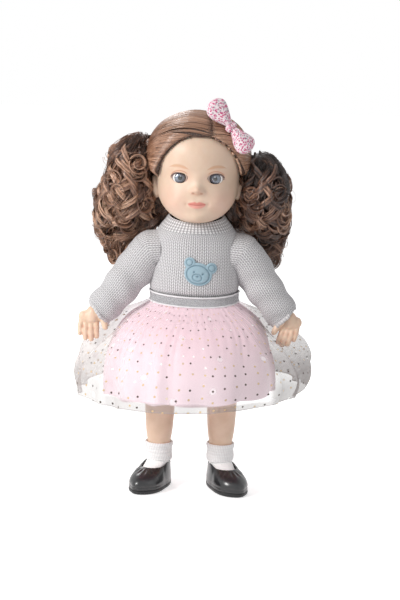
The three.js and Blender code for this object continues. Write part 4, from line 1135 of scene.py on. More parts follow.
def lean_collar(grid):
    """Lifts the neck of the sweater towards the back."""
    rise = np.clip((grid[..., 2] - 300) / 15, 0, 1)
    grid[..., 2] += (0.1 * grid[..., 1]) * rise * rise * (3 - 2 * rise)
    return grid


def wales_around(grid, count, start=0.0):
    """The crosswise and lengthwise measure over a grid: a whole number of wales around."""
    rows, around = grid.shape[:2]
    across = np.arange(around)[None, :] / around * count * WALE
    step = np.linalg.norm(np.diff(grid, axis=0), axis=2).mean(1)
    along = np.concatenate([[0], np.cumsum(step)]) + start
    return np.stack(np.broadcast_arrays(across, along[:, None]), 2)


def wrinkle(grid, height, scale, seed=0.0):
    """Soft uneven folds, pushed out and in across a grid."""
    out = unit(grid - grid.mean(axis=1, keepdims=True))
    x, y, z = grid[..., 0] / scale, grid[..., 1] / scale, grid[..., 2] / scale
    wave = np.sin(1.1 * x + 0.6 * z + seed) * np.cos(0.9 * z - 0.5 * y + 1.7 * seed)
    wave = wave + 0.6 * np.sin(2.1 * z + 1.3 * x - 0.8 * y + seed)
    return grid + out * (wave * height)[..., None]


grid = lean_collar(rings(SWEATER_ROWS, np.linspace(229.6, 315.4, 76), 240, squared=False))
grid = wrinkle(grid, 0.45, 12, 0.7)
sweater = from_grid("sweater", grid, body_knit, uv=wales_around(grid, 60))
thicken(sweater, KNIT_WALL)
cutters = []
for s in (1, -1):
    bpy.ops.mesh.primitive_cylinder_add(
        vertices=96, radius=ARMHOLE * MM, depth=0.03, rotation=(0, math.pi / 2, 0),
    )
    hole = bpy.context.object
    hole.location = (s * (0.0412 + 0.015), 0, SHOULDER[2] * MM)
    bpy.ops.object.transform_apply()
    cutters.append(hole)
cut_out(sweater, join("armholes", *cutters))
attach(sweater, "torso")
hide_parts("sweater_body")

COLLAR_RIBS = 62


def level_grid(x, y, z):
    """A grid of points from three rows or columns of numbers that spread over each other."""
    return np.stack(np.broadcast_arrays(x, y, z), -1)


def finer(rows, count):
    """A list of rows, read at more and evenly spaced steps."""
    rows = np.array(rows, float)
    t = np.linspace(0, len(rows) - 1, count)
    return np.stack([np.interp(t, range(len(rows)), column) for column in rows.T], 1)


z, half, front, back, mid = finer(COLLAR_ROWS, 22).T[:, :, None]
even = np.linspace(0, 2 * np.pi, 240, endpoint=False)
ribs = 0.35 * np.cos(even * COLLAR_RIBS)
y = (front + back) / 2 + ((back - front) / 2 + ribs) * np.sin(even)
side_rise = 2.4 * np.abs(np.cos(even)) ** 1.5 * np.minimum(np.arange(22) / 12, 1)[:, None]
grid = level_grid(mid + (half + ribs) * np.cos(even), y, z + 0.1 * y + side_rise)
collar = from_grid("collar_rib", grid, rib_knit, uv=wales_around(grid, COLLAR_RIBS))
thicken(collar, KNIT_WALL)
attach(collar, "torso")
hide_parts("sweater_collar")


def capsules(name, points, radii, segments=32):
    """Overlapping round-ended lengths along a path, in millimetres, as one mesh to be merged."""
    parts = []
    for (a, b), (ra, rb) in zip(zip(points[:-1], points[1:]), zip(radii[:-1], radii[1:])):
        a, b = np.asarray(a, float), np.asarray(b, float)
        ahead = unit(b - a)
        across = unit(np.cross(ahead, [0.13, 0.97, 0.2]))
        other = np.cross(ahead, across)
        angle = np.linspace(0, 2 * np.pi, segments, endpoint=False)
        circle = np.cos(angle)[:, None] * across + np.sin(angle)[:, None] * other
        steps = [(a - ahead * ra * math.cos(p), ra * math.sin(p)) for p in np.linspace(0.02, np.pi / 2, 8)]
        steps += [(b + ahead * rb * math.cos(p), rb * math.sin(p)) for p in np.linspace(np.pi / 2, 0.02, 8)]
        grid = np.array([at + circle * r for at, r in steps])
        parts.append(from_grid(name, grid, ends=(True, True)))
    return parts


def cloth_tube(name, path, radii, ends, paint, wales):
    """A sleeve around a path: melted, cut open at both ends, with its knit measured along it."""
    merged = join(name, *capsules(name, path, radii))
    melt(merged, 1.6, 8)
    bpy.ops.object.mode_set(mode="EDIT")
    for at, normal in ends:
        bpy.ops.mesh.select_all(action="SELECT")
        bpy.ops.mesh.bisect(plane_co=Vector(at) * MM, plane_no=normal, clear_outer=True)
    bpy.ops.object.mode_set(mode="OBJECT")
    mesh = merged.data
    points = points_of(merged)
    steps = [np.linspace(a, b, 30, endpoint=False) for a, b in zip(path[:-1], path[1:])]
    dense = np.vstack([*steps, path[-1:]])
    far = np.concatenate([[0], np.cumsum(np.linalg.norm(np.diff(dense, axis=0), axis=1))])
    near = np.argmin(((points[:, None] - dense[None]) ** 2).sum(2), 1)
    ahead = unit(np.gradient(dense, axis=0))
    forward = np.array([0, -1.0, 0])
    front = unit(forward - ahead * (ahead @ forward)[:, None])
    side = np.cross(ahead, front)
    rel = points - dense[near]
    angle = np.arctan2((rel * side[near]).sum(1), (rel * front[near]).sum(1))
    along = far[near] + (rel * ahead[near]).sum(1)
    wave = np.sin(along / 4.6 + 1.3 * np.sin(angle * 2 + 0.6)) * np.clip((along - 22) / 30, 0, 1)
    wave = wave + 0.7 * np.sin(along / 9 + angle * 1.5)
    move_points(merged, points + unit(rel) * wave[:, None])
    layer = mesh.uv_layers.new(name="cut")
    corners = np.empty(len(mesh.loops), int)
    mesh.loops.foreach_get("vertex_index", corners)
    turn = angle[corners]
    for polygon in mesh.polygons:
        piece = slice(polygon.loop_start, polygon.loop_start + polygon.loop_total)
        a = turn[piece]
        if a.max() - a.min() > np.pi:
            turn[piece] = np.where(a < 0, a + 2 * np.pi, a)
    uv = np.stack([turn / (2 * np.pi) * wales * WALE, along[corners]], 1) * MM
    layer.data.foreach_set("uv", uv.ravel())
    cover(merged, paint)
    thicken(merged, KNIT_WALL)
    return merged


def mirrored(points, s):
    """An arm's points on one side. The right arm stands further out, and the left hand turns in."""
    points = np.array(points, float)
    if s > 0:
        points[..., 0] -= 0.3 * np.maximum(SHOULDER[2] - 76 - points[..., 2], 0)
    if s < 0:
        points[..., 0] += 0.12 * np.maximum(points[..., 0] - SHOULDER[0] - 15, 0)
    points[..., 0] *= s
    return points


cuff_knit = knit("knit_cuff", ribbed=True, valley_shade_and_top=((196, 192, 194), (226, 225, 225)))
for name, s in (("left", 1), ("right", -1)):
    path = mirrored(SHOULDER + SLEEVE_PATH, s)
    wrist = path[-1]
    ahead = path[-1] - path[-2] + np.array([s * 4.2, 0, 0])
    ahead /= np.linalg.norm(ahead)
    ends = [((s * SEAM_X, 0, SHOULDER[2]), (-s, 0, 0)), (tuple(wrist), tuple(ahead))]
    sleeve = cloth_tube(f"sleeve_{name}_form", path, SLEEVE_RADII, ends, body_knit, 28)
    even = np.linspace(0, 2 * np.pi, 72, endpoint=False)
    roll = np.append(np.linspace(0, 2 * np.pi, 14, endpoint=False), 0)
    across = unit(np.cross(ahead, [0, 1.0, 0]))
    other = np.cross(ahead, across)
    wave = 0.9 * np.sin(even * 5 + 0.8) + 0.5 * np.sin(even * 11)
    circle = across * np.cos(even)[:, None] + other * np.sin(even)[:, None]
    out = 16.6 + 1.7 * np.cos(roll)[:, None] + wave * 0.35
    lift = 2.3 * np.sin(roll)[:, None] + wave * 0.6
    grid = wrist + circle * out[..., None] + ahead * lift[..., None]
    cuff = from_grid(f"cuff_{name}", grid, cuff_knit, uv=wales_around(grid, 30))
    for piece in (sleeve, cuff):
        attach(piece, f"arm_{name}")
        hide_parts(f"sleeve_{name}")

# Patch: a blue suede-finish bear's head, embossed with an outline, ears, eyes and a muzzle, and
# sewn to the front of the sweater.
PATCH_AT = np.array([4.0, -40.2, 265.0])
PATCH_TILT = 14
parts = [ball("bear", (0, 0, 0), (16.5, 2.2, 13.5), 48)]
for s in (1, -1):
    parts.append(ball("bear", (s * 12.8, 0, 10.2), (6.8, 2.0, 6.8), 32))
patch = join("bear_badge", *parts)
melt(patch, 0.45, 4)
points = points_of(patch)
px, py, pz = points.T
press = np.zeros(len(points))


def groove(x, z, wide, tall, width, deep):
    """How deep an oval line is pressed in at each point."""
    away = np.sqrt(((px - x) / wide) ** 2 + ((pz - z) / tall) ** 2)
    return deep * np.exp(-(((away - 1) * min(wide, tall) / width) ** 2))


def dimple(x, z, wide, tall, deep):
    """How deep a round dot is pressed in at each point."""
    return deep * np.exp(-(((px - x) / wide) ** 2) - ((pz - z) / tall) ** 2)


press += groove(0, -0.5, 13.2, 10.6, 0.7, 0.9)
for s in (1, -1):
    press += groove(s * 13.4, 10.9, 3.6, 3.6, 0.6, 0.8) + dimple(s * 5.2, 1.6, 1.0, 1.2, 1.3)
press += groove(0, -4, 5.4, 4.0, 0.6, 0.8) + dimple(0, -2.6, 1.5, 1.0, 1.2)
front = np.clip(-py / 0.6, 0, 1)
points[:, 1] += press * front
flatten = np.clip(py / 0.6, 0, 1)
points[:, 1] *= 1 - 0.6 * flatten
turn = math.radians(PATCH_TILT)
turned = points.copy()
turned[:, 0] = px * math.cos(turn) + pz * math.sin(turn)
turned[:, 2] = -px * math.sin(turn) + pz * math.cos(turn)
CHEST_ROUND = 62
turned[:, 1] += (turned[:, 0] + PATCH_AT[0]) ** 2 / (2 * CHEST_ROUND)
felt = Paint("patch_blue", color=(138, 172, 188), Roughness=0.8, Sheen_Weight=0.3)
pressed = felt.node("ShaderNodeAttribute", attribute_name="pressed").outputs["Fac"]
felt.set(Base_Color=felt.mix(Amount(felt, pressed) * 0.9, (158, 184, 197), (108, 136, 152)))
felt.bump(felt.noise(1500, detail=2), 0.0002, 0.6)
move_points(patch, turned + PATCH_AT)
layer = patch.data.attributes.new("pressed", "FLOAT", "POINT")
layer.data.foreach_set("value", np.clip(press * front, 0, 1).astype(np.float32))
cover(patch, felt)
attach(patch, "torso")
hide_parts("bear_patch")

# Waistband: wide silver glitter elastic with a white piped edge above and below.
BAND_LOW, BAND_HIGH = 227.5, 240.5
BAND_HALF, BAND_DEEP = 52.4, 37.6
silver = Paint("lurex_band", Roughness=0.4)
grain = silver.node("ShaderNodeTexVoronoi", {"Scale": 1150.0})
spark, rough, _ = silver.parts(grain.outputs["Color"])
silver.set(
    Base_Color=silver.mix(silver.ease(spark, 0.1, 0.9), (170, 171, 176), (246, 246, 248)),
    Metallic=silver.ease(spark, 0.8, 0.95) * 0.35,
)
silver.bump(rough, 0.0006, 0.8)


def front_drop(angle):
    """The band and the skirt sag a little at the front."""
    return 3.2 * np.clip(-np.sin(angle), 0, 1) ** 1.5


piping = Paint("band_piping", color=(236, 234, 236), Roughness=0.7)
even = np.linspace(0, 2 * np.pi, 200, endpoint=False)
heights = np.linspace(BAND_LOW + 0.6, BAND_HIGH - 0.6, 10)[:, None]
ripple = 0.22 * np.cos(even * 46) + 0.1 * np.cos(even * 17)
sag = 0.35 * np.sin(even * 3 + 1) - front_drop(even)
grid = level_grid((BAND_HALF + ripple) * np.cos(even), (BAND_DEEP + ripple) * np.sin(even), heights + sag)
band = from_grid("band_elastic", grid, silver)
thicken(band, 1.2)
roll = np.linspace(0, 2 * np.pi, 11)[:, None]
out = BAND_HALF + 0.1 + np.cos(roll) + 0.3 * np.cos(even * 23)
edges = []
for at in (BAND_LOW + 0.9, BAND_HIGH - 0.9):
    grid = level_grid(out * np.cos(even), (out - 14.6) * np.sin(even), at + np.sin(roll) + sag)
    edges.append(from_grid("band_edge", grid, piping))
band_edges = join("band_edges", *edges)
for piece in (band, band_edges):
    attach(piece, "torso")
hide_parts("waistband")

# Skirt: a gathered pink satin lining under a wide layer of stiff white tulle with small gold and
# dark dots and a few white flocked ones. Each is cut in two halves and sewn into the waistband.
LINING_ROWS = [
    [122, 101, -97, 95, -5], [151.5, 101, -93, 91, -5], [179.5, 97, -84, 82, -4], [198, 88, -72, 71, -2],
    [211, 75, -59, 58, -1], [220.5, 60.5, -46, 45.5, 0], [228.4, 50, -35.6, 35.6, 0],
]
TULLE_ROWS = [
    [121.3, 133, -123, 121, -1], [135, 136, -122, 120, 1], [152, 133, -117, 115, 3], [165, 126, -109, 107, 3],
    [177, 119, -100, 98, 2], [191, 106, -88, 86, 0.5], [205, 92, -76, 75, 0], [214, 79, -63.5, 62.5, 0],
    [221.5, 64, -50, 49.5, 0], [228.6, 51, -36.4, 36.4, 0],
]


def gathered(rows, heights, around, folds, depth, lean, dip, phase, flare, dent, pleats=52):
    """A skirt surface: close small gathers at the waist that open into a few large folds at the hem.
    The arms press it in at the sides, and it stands out behind them."""
    grid = rings(rows, heights, around, squared=False)
    angle = np.linspace(0, 2 * np.pi, around, endpoint=False)
    share = ((rows[-1][0] - np.asarray(heights)) / (rows[-1][0] - rows[0][0]))[:, None]
    sway = angle + 0.16 * np.sin(angle * 3 + phase) + 0.08 * np.sin(angle * 7 + 2 * phase)
    large = np.cos(sway * folds + 0.9 * np.sin(share * 2.2 + phase))
    large = large + 0.22 * np.cos(sway * (folds * 2 - 3) + 1.1 + phase)
    small = np.cos(sway * pleats + 1.5 * np.sin(angle * 5)) + 0.5 * np.cos(sway * (pleats + 13) + phase)
    flat = grid.copy()
    flat[..., 2] = 0
    flat /= np.linalg.norm(flat, axis=2, keepdims=True)
    push = depth * share**1.1 * large + 10.8 * share * np.exp(-share * 6.5) * small
    for side in (0, np.pi):
        off = np.angle(np.exp(1j * (angle - side))) * np.cos(side)
        push = push + flare * np.sin(np.pi * share**1.1) * np.exp(-(((off - 0.4) / 0.3) ** 2))
        push = push - dent * np.exp(-(((share - 0.3) / 0.25) ** 2) - ((off + 0.08) / 0.26) ** 2)
    grid = grid + flat * push[..., None]
    grid[..., 2] += share**4 * (lean * np.cos(angle) + dip * np.cos(2 * angle))
    grid[..., 2] -= front_drop(angle)[None, :] * np.clip(1 - share * 2.5, 0, 1)
    grid[..., 2] += share**3 * 1.2 * np.sin(sway * folds + 0.6)
    return grid


def cut_measure(grid):
    """The cloth's own measure: around its hem and down from the waist, in millimetres."""
    rows, around = grid.shape[:2]
    hem = np.linalg.norm(np.roll(grid[0], -1, 0) - grid[0], axis=1)
    across = np.concatenate([[0], np.cumsum(hem)[:-1]])
    step = np.linalg.norm(np.diff(grid, axis=0), axis=2).mean(1)
    along = np.concatenate([[0], np.cumsum(step)])
    return np.stack(np.broadcast_arrays(across[None, :], along[:, None]), 2)


satin = Paint("pink_lining", Roughness=0.5, Sheen_Weight=0.3)
# Painted light: the lining glows a faint pink of its own, so its side away from the lamp stays bright.
satin.set(Emission_Color=(1, 0.82, 0.88, 1), Emission_Strength=0.1)
x, y, z = satin.place()
satin.set(Base_Color=satin.mix(satin.ease(z, 205, 140), (240, 207, 217), (244, 222, 230)))
net = Paint("tulle", Roughness=0.6, Specular_IOR_Level=0.3)
across, along = net.flat_place()
x, y, z = net.place()
dot_away, pick = net.cells(net.point(across / 14, along / 13), Randomness=0.45)
dot = net.ease(dot_away * 13.5, 1.6, 1.05)
dot_tone = net.mix(net.ease(pick, 0.4, 0.42), (70, 56, 48), (206, 178, 138))
dot_tone = net.mix(net.ease(pick, 0.93, 0.95), dot_tone, (252, 250, 248))
flock_away, _ = net.cells(net.point(across / 64, along / 60), Randomness=0.8)
flock = net.ease(flock_away * 62, 5.2, 2.2)
lining_half = 101 - net.math("MAXIMUM", z - 150, 0.0) ** 2 * 0.006
beyond = net.ease(abs(x + 4) / lining_half, 0.9, 1.0)
# Painted shade: the net is painted darker in a band at the hem, low on the sides, and beyond the lining
# towards +x, the side away from the lamp.
below = net.ease(z, 132, 128) * (1 - beyond)
low_side = net.ease(z, 172, 140) * beyond
hem_side = net.ease(z, 152, 138) * beyond
loose = net.mix(net.ease(x, -60, 90), (216, 209, 206), (168, 161, 158))
mesh_tone = net.mix(beyond, (248, 238, 242), loose)
mesh_tone = net.mix(below, mesh_tone, (166, 157, 155))
shaded = net.ease(x, -70, 90)
mesh_tone = net.mix(low_side * 0.7 * shaded, mesh_tone, (156, 150, 148))
mesh_tone = net.mix(hem_side * 0.75, mesh_tone, (172, 166, 164))
mesh_tone = net.mix(flock * 0.8, mesh_tone, (254, 252, 253))
edge = net.ease(along, 1.6, 0.9)
slope = Amount(net, net.node("ShaderNodeLayerWeight", {"Blend": 0.3}).outputs["Facing"])
# Painted shade also in the net's density: it is made more opaque towards +x low on the sides and at the hem,
# so it reads greyer there.
dense = 0.22 + beyond * 0.1 + low_side * (0.08 + 0.16 * shaded) + below * 0.26 + hem_side * 0.08
dense = dense + slope * (0.24 - beyond * 0.06) + edge * 0.2 + flock * 0.3
net.set(Base_Color=net.mix(dot, mesh_tone, dot_tone), Metallic=dot * 0.2)
net.set(Alpha=net.math("MAXIMUM", dense, dot * 0.97))


def skirt_half(name, grid, paint, side, lap=0):
    """One side of a skirt, from the middle of the back to the middle of the front."""
    count = grid.shape[1]
    from_back = np.roll(grid, -count // 4, axis=1)
    measure = cut_measure(from_back)
    width = measure[:, -1:, :] * [2, 1] - measure[:, -2:-1, :] * [1, 0]
    from_back = np.concatenate([from_back, from_back[:, :1]], 1)
    measure = np.concatenate([measure, width], 1)
    columns = slice(count // 2 - lap, count + 1) if side > 0 else slice(0, count // 2 + 1)
    half = from_back[:, columns].copy()
    if side > 0 and lap:
        half[:, :lap, :2] *= 1 - 0.0022 * np.arange(lap, 0, -1)[None, :, None]
    return from_grid(name, half, paint, closed=False, uv=measure[:, columns])


inside = gathered(LINING_ROWS, np.linspace(122, 228.2, 60), 420, 11, 3.4, 3, 0, 0.4, 0, 10)
outside = gathered(TULLE_ROWS, np.linspace(121.3, 228.4, 72), 560, 13, 4.2, 5.5, 1.3, 1.9, 22, 18)
for name, side in (("left", 1), ("right", -1)):
    lining = skirt_half(f"skirt_lining_{name}", inside, satin, side, lap=5)
    finish_with(lining, ("SOLIDIFY", {"thickness": 0.0005, "offset": 0}))
    take(lining)
    bpy.ops.object.shade_smooth_by_angle(angle=math.radians(55))
    tulle = skirt_half(f"skirt_net_{name}", outside, net, side)
    for piece, node, slot, flat, area, under in (
        (lining, "skirt_lining", "pink_lining", (0.33, 0.125), 0.033, "band_elastic"),
        (tulle, "skirt_tulle", "tulle", (0.46, 0.155), 0.047, f"skirt_lining_{name}"),
    ):
        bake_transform(piece)
        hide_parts(node)

# Arms: soft vinyl, hanging a little away from the body, with the backs of the hands to the front
# and short relaxed fingers. Each turns at the shoulder on a plug inside the cloth body.
ARM_PATH = np.array([
    [-14, 0, 0], [0, 0, 0], [16, 0, -19], [30, -1, -38], [43, -3, -57], [52, -5, -72], [57.6, -6, -78],
])
ARM_RADII = [14.0, 14.0, 13.4, 12.8, 11.8, 10.4, 8.9]
PALM = [
    ((58.6, -6, -76), (60.2, -6.4, -81), 9.0, 9.4), ((57.0, -6.6, -81.5), (68.4, -6.2, -80.5), 7.4, 7.0),
    ((60, -6.6, -77), (66.2, -6.2, -82), 8.0, 7.6),
]
FINGERS = [
    [(56.4, -7.6, -83), (55.4, -11.6, -94), (54.8, -11.2, -103.4)],
    [(61.2, -7.8, -84), (61.0, -12.4, -96.4), (60.6, -12.0, -106.6)],
    [(66.2, -7.2, -83.6), (66.8, -12.0, -95.6), (66.8, -11.8, -105.6)],
    [(70.4, -6.2, -81.4), (72.2, -10.6, -91.6), (72.6, -10.8, -100.4)],
]
FINGER_RADII = [(4.1, 3.6, 3.1), (4.2, 3.7, 3.2), (4.1, 3.6, 3.1), (3.8, 3.3, 2.8)]
THUMB = [(53.6, -8.5, -75), (48.0, -12.0, -82.6), (45.8, -14.0, -91.5)]
THUMB_RADII = (5.2, 4.3, 3.4)

limb_skin = Paint("vinyl_limbs", Roughness=0.42, Subsurface_Weight=0.1, **GLOW_REACH)
patchy = limb_skin.noise(60, detail=3)
tone = limb_skin.mix(limb_skin.ease(patchy, 0.3, 0.7), (230, 198, 173), (240, 210, 187))
# Painted shade: darker vinyl between the fingers and beside the thumb.
crevice_shade = limb_skin.node("ShaderNodeAttribute", attribute_name="crevice_shade").outputs["Fac"]
tone = limb_skin.mix(Amount(limb_skin, crevice_shade) * 0.55, tone, (190, 122, 88))
limb_skin.set(Base_Color=tone)


def merge_limb(name, parts, grain, rounds):
    """Makes one vinyl limb of its overlapping parts."""
    made = join(name, *parts)
    melt(made, grain, rounds)
    cover(made, limb_skin)
    return made


def mark_crevices(made, near, reach):
    """Stores how deep each point lies between the fingers, for the painted shade there."""
    points = points_of(made)
    value = np.zeros(len(points))
    for at in near:
        value = np.maximum(value, np.exp(-((points - np.array(at)) ** 2).sum(1) / reach**2))
    layer = made.data.attributes.new("crevice_shade", "FLOAT", "POINT")
    layer.data.foreach_set("value", value.astype(np.float32))


for name, s in (("left", 1), ("right", -1)):
    parts = capsules("arm", mirrored(SHOULDER + ARM_PATH, s), ARM_RADII)
    for a, b, ra, rb in PALM:
        parts += capsules("palm", mirrored(SHOULDER + np.array([a, b]), s), [ra, rb])
    for finger, radii in zip(FINGERS, FINGER_RADII):
        parts += capsules("finger", mirrored(SHOULDER + np.array(finger), s), radii, 20)
    parts += capsules("thumb", mirrored(SHOULDER + np.array(THUMB), s), THUMB_RADII, 20)
    made = merge_limb(f"arm_{name}_vinyl", parts, 0.75, 4)
    gaps = [np.array([51.2, -12.0, -94.0])]
    for joint, shift in ((1, np.array([0, -1.5, 2])), (2, np.array([0, -1, 3]))):
        places = np.array([finger[joint] for finger in FINGERS])
        gaps += list((places[:-1] + places[1:]) / 2 + shift)
    mark_crevices(made, [mirrored(SHOULDER + gap, s) for gap in gaps], 2.4)
    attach(made, f"arm_{name}")
    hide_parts(f"arm_{name}")

# Legs: soft vinyl with plump calves and feet turned out a little, in white ribbed ankle socks
# folded over at the top.
HIP = np.array([37.0, 3.0, 188.5])
TOE_OUT = math.radians(27)
LEG_ROWS = [
    [7.4, 11.5, -46, 12.5, 0], [11, 13, -48, 15, 0], [16, 12.8, -45, 15.5, 0], [21, 12.0, -36, 15.2, 0],
    [26, 11.2, -24, 14.4, 0], [32, 11.2, -14.5, 12.6, 0], [38, 11.9, -12.4, 12.2, 0],
]
LEG_ROWS += [[height, round_, -round_, round_, 0] for height, round_ in (
    (52, 13.4), (66, 15.6), (88, 17.3), (110, 18), (134, 20.4), (160, 23.4), (186, 24),
)]
SOCK_ROWS = [
    [6.6, 12.4, -47, 13.6, 0], [11, 14.2, -49.3, 16.4, 0], [16, 14.2, -46.4, 17, 0],
    [21, 13.4, -37.4, 16.7, 0], [26, 12.9, -25.6, 16.0, 0], [32, 13.1, -16.4, 14.6, 0],
    [38, 14.0, -14.4, 14.2, 0], [46, 14.8, -14.8, 14.8, 0], [52, 15.6, -15.6, 15.6, 0],
]
FOLD_ROWS = [
    [34.5, 15.6], [33.9, 16.4], [35, 17.0], [37, 16.5], [39, 17.0], [41, 16.3], [43.5, 16.9],
    [46, 16.4], [49, 17.1], [52, 17.3], [53.8, 17.0], [54.3, 16.2], [53.2, 15.6], [50, 15.4],
]
SOCK_RIBS = 33


def on_leg(grid, s):
    """Stands a form on one leg's line: the foot part turned out, in millimetres from the ground."""
    out = grid.copy()
    turn = s * TOE_OUT * np.clip((60 - grid[..., 2]) / 30, 0, 1)
    x, y = grid[..., 0], grid[..., 1]
    out[..., 0] = x * np.cos(turn) - y * np.sin(turn) + s * HIP[0]
    out[..., 1] = x * np.sin(turn) + y * np.cos(turn) + HIP[1]
    return out


cotton_knit = knit("sock_white", ribbed=True, valley_shade_and_top=((240, 238, 238), (255, 255, 255)))
terry = Paint("sock_foot", color=(252, 251, 250), Roughness=0.9, Sheen_Weight=0.4)
# Painted light: both sock materials glow a little, keeping them white in the shade under the skirt.
for self_lit_white in (cotton_knit, terry):
    self_lit_white.set(Emission_Color=(1, 1, 1, 1), Emission_Strength=0.1)
terry.bump(terry.noise(620, detail=3), 0.0007, 0.9)
for name, s in (("left", 1), ("right", -1)):
    grid = rings(LEG_ROWS, np.linspace(7.4, 186, 120), 96, squared=False)
    knee = np.exp(-(((grid[..., 2] - 128) / 16) ** 2)) * np.clip(-grid[..., 1] / 18, 0, 1)
    grid[..., 1] -= 0.9 * knee
    calf = np.exp(-(((grid[..., 2] - 84) / 24) ** 2)) * np.clip(grid[..., 1] / 16, 0, 1)
    grid[..., 1] += 1.6 * calf
    shank = from_grid("shank", on_leg(grid, s), limb_skin, ends=(True, True))
    hip = ball("hip", (s * HIP[0], HIP[1], HIP[2]), (24, 24, 24), 64)
    made = merge_limb(f"leg_{name}_vinyl", [shank, hip], 1.1, 3)
    bpy.ops.object.mode_set(mode="EDIT")
    bpy.ops.mesh.select_all(action="SELECT")
    bpy.ops.mesh.bisect(plane_co=(s * 0.0154, 0, 0), plane_no=(-s, 0, 0), use_fill=True, clear_outer=True)
    bpy.ops.object.mode_set(mode="OBJECT")
    mark_crevices(made, [(0, 0, -900)], 1)
    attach(made, f"leg_{name}")
    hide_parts(f"leg_{name}")

    grid = rings(SOCK_ROWS, np.linspace(6.6, 51, 70), 120, squared=False)
    angle = np.arctan2(grid[..., 1], grid[..., 0])
    crumple = 0.7 * np.sin(grid[..., 2] / 1.9 + 1.2 * np.sin(2 * angle + s))
    crumple = crumple * np.exp(-(((grid[..., 2] - 34) / 8) ** 2))
    grid[..., :2] *= (1 + crumple / 16)[..., None]
    sock = from_grid(f"sock_{name}_cloth", on_leg(grid, s), terry, ends=(True, False))
    thicken(sock, 0.9)
    z, radius = finer(FOLD_ROWS, 40).T[:, :, None]
    even = np.linspace(0, 2 * np.pi, 132, endpoint=False)
    droop = 1.4 * np.sin(even + 0.7 * s) + 0.7 * np.sin(3 * even + s)
    outer = radius - 0.7 + 0.18 * np.cos(even * SOCK_RIBS) + 0.35 * np.sin(z / 2.6 + even * 2)
    grid = level_grid(outer * np.cos(even), outer * np.sin(even), z + droop * np.clip((44 - z) / 9, 0, 1))
    cuff = from_grid(f"sock_{name}_fold", on_leg(grid, s), cotton_knit, uv=wales_around(grid, SOCK_RIBS))
    thicken(cuff, 0.8)
    for piece, node in ((sock, "sock"), (cuff, "sock_cuff")):
        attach(piece, f"leg_{name}")
        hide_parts(f"{node}_{name}")

# Shoes: glossy black slip-ons, moulded with a broad round toe and small gathers at the front,
# on a separate black sole.
SHOE_ROWS = [
    [5.3, 18.4, -55, 20, 0], [8, 18.5, -55.4, 20.3, 0], [11, 18.4, -55.4, 20.3, 0], [16, 17.8, -53, 20.2, 0],
    [21, 16.6, -46.5, 19.6, 0], [26, 15.4, -35, 18.8, 0], [31, 14.8, -24, 17.6, 0], [35, 14.6, -19, 16.8, 0],
]
SOLE_ROWS = [
    [0, 16.6, -51.4, 17.6, 0], [0.8, 17.8, -53.8, 19, 0], [3, 18.6, -55.4, 20.3, 0],
    [4.9, 18.6, -55.4, 20.3, 0],
]
patent = Paint("shoe_black", color=(26, 26, 29), Roughness=0.3, Coat_Weight=0.5, Coat_Roughness=0.12)
patent.bump(patent.noise(45, detail=1), 0.0009, 0.35)
rubber = Paint("shoe_sole", color=(24, 24, 26), Roughness=0.45)


def broad_toes(grid):
    """Makes a shoe's rings broad at the toes."""
    out = grid.copy()
    share = np.clip((-grid[..., 1] - 15) / 36, 0, 1)
    out[..., 0] *= 1 + 0.28 * share * (1 - share**6)
    return out


for name, s in (("left", 1), ("right", -1)):
    grid = broad_toes(rings(SHOE_ROWS, np.linspace(5.3, 35, 44), 128, squared=False))
    shape = from_grid("shoe", grid, patent, ends=(True, True))
    take(shape)
    bpy.ops.object.mode_set(mode="EDIT")
    bpy.ops.mesh.select_all(action="SELECT")
    bpy.ops.mesh.bisect(plane_co=(0, 0, 0.027), plane_no=(0, 0.03, 1), clear_outer=True)
    bpy.ops.object.mode_set(mode="OBJECT")
    points = points_of(shape)
    top = np.clip((points[:, 2] - 20) / 7, 0, 1)
    back_edge = np.clip((points[:, 1] + 20) / 8, 0, 1)
    side_peak = np.exp(-(((points[:, 1] + 2) / 9) ** 2))
    points[:, 2] += top * (2.6 * side_peak * back_edge + 1.4 * np.clip((points[:, 1] - 10) / 8, 0, 1))
    fold_line = points[:, 2] - 9.2
    points[:, :2] *= (1 - 0.014 * np.exp(-((fold_line / 1.1) ** 2)))[:, None]
    rays = np.arctan2(points[:, 0], points[:, 1] + 26)
    reach = np.hypot(points[:, 0], points[:, 1] + 26)
    gather = np.cos(rays * 14) * np.exp(-(((reach - 13) / 4.5) ** 2))
    gather = gather * np.clip(-(points[:, 1] + 24) / 6, 0, 1)
    points[:, 2] += 0.5 * gather * np.clip((points[:, 2] - 14) / 6, 0, 1)
    move_points(shape, on_leg(points[None], s)[0])
    thicken(shape, 1.8)
    shape.name = f"shoe_{name}"
    grid = broad_toes(rings(SOLE_ROWS, np.linspace(0, 4.9, 12), 128, squared=False))
    sole = from_grid(f"sole_{name}", on_leg(grid, s), rubber, ends=(True, True))
    for piece in (shape, sole):
        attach(piece, f"leg_{name}")
    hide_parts(f"shoe_upper_{name}")
    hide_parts(f"shoe_sole_{name}")

# Body and hidden fastenings: the stuffed cotton body under the clothes, and the ties, cords,
# plugs, clip and tapes, which keep their solid shapes and get their own finishes.
padding = []
for node in ("torso_cover", "torso_stuffing"):
    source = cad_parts[node]
    mesh = source.data.copy()
    mesh.transform(source.matrix_world)
    copied = bpy.data.objects.new("body_part", mesh)
    scene.collection.objects.link(copied)
    padding.append(copied)
stuffed = join("body_stuffed", *padding)
take(stuffed)
bpy.ops.object.mode_set(mode="EDIT")
bpy.ops.mesh.select_all(action="SELECT")
bpy.ops.mesh.remove_doubles(threshold=0.00002)
bpy.ops.object.mode_set(mode="OBJECT")
melt(stuffed, 1.3, 6)
calico = Paint("body_cotton", Roughness=0.9, Sheen_Weight=0.3)
x, y, z = calico.place()
weave = calico.math("SINE", x * 7) * calico.math("SINE", z * 7)
seam = calico.ease(abs(abs(x) - 0.4), 0.9, 0.3)
stitch = seam * calico.ease(calico.math("SINE", z * 2.6), -0.2, 0.4)
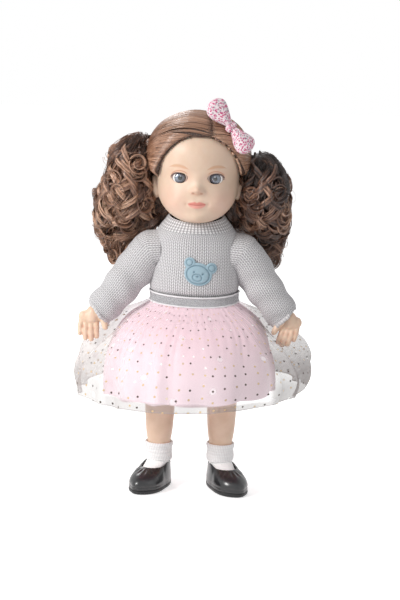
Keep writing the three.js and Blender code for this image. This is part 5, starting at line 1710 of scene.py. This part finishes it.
plain = calico.mix(calico.noise(40), (236, 226, 206), (244, 236, 220))
calico.set(Base_Color=calico.mix(stitch * 0.6, plain, (196, 182, 158)))
calico.bump(weave * 0.3 - seam + calico.noise(70, detail=2) * 1.5, 0.0006, 0.8)
cover(stuffed, calico)
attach(stuffed, "torso")
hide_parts("torso_cover", "torso_stuffing")

tie_elastic = Paint("hair_tie_elastic", Roughness=0.8)
x, y, z = tie_elastic.place()
round_tie = tie_elastic.math("ARCTAN2", z - TIE_AT[1][2], y - TIE_AT[1][1])
wrap = tie_elastic.math("SINE", round_tie * 44)
tie_elastic.set(Base_Color=tie_elastic.mix(tie_elastic.ease(wrap, -0.6, 0.6), (44, 30, 26), (84, 60, 50)))
tie_elastic.bump(wrap, 0.0003, 0.8)
cord_elastic = Paint("cord_elastic", Roughness=0.7)
x, y, z = cord_elastic.place()
braid = cord_elastic.math("SINE", x * 3.2 + y * 1.4) * cord_elastic.math("SINE", x * 3.2 - z * 1.4)
crossing = cord_elastic.ease(braid, -0.5, 0.5)
cord_elastic.set(Base_Color=cord_elastic.mix(crossing, (214, 210, 202), (242, 240, 234)))
cord_elastic.bump(braid, 0.0003, 0.8)
nylon = Paint("nylon", Roughness=0.45)
nylon.set(Base_Color=nylon.mix(nylon.noise(120, detail=3), (232, 232, 228), (244, 244, 242)))
nylon.bump(nylon.noise(400, detail=2), 0.0001, 0.4)
tape = Paint("touch_tape", Roughness=0.85, Sheen_Weight=0.3)
tape.set(Base_Color=tape.mix(tape.noise(900, detail=2), (206, 204, 206), (246, 245, 245)))
tape.bump(tape.noise(1400, detail=2), 0.0006, 1.0)
clip_metal = Paint("clip_steel", Metallic=1.0)
x, y, z = clip_metal.place()
brushed = clip_metal.noise(1.0, at=clip_metal.point(x * 0.2, y * 6, z * 0.2), detail=3)
steel_tone = clip_metal.mix(brushed, (176, 176, 180), (214, 214, 216))
clip_metal.set(Base_Color=steel_tone, Roughness=0.22 + brushed * 0.2)
finishes = {
    "hair_tie_left": tie_elastic, "hair_tie_right": tie_elastic, "bow_clip": clip_metal, "neck_tie": nylon,
    "arm_cord": cord_elastic, "hip_cord_left": cord_elastic, "hip_cord_right": cord_elastic,
    "back_tape_loops": tape, "back_tape_hooks": tape, "arm_plug_left": nylon, "arm_plug_right": nylon,
    "leg_plug_left": nylon, "leg_plug_right": nylon,
}
for node, paint in finishes.items():
    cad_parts[node].data.materials.clear()
    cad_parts[node].data.materials.append(paint.material)
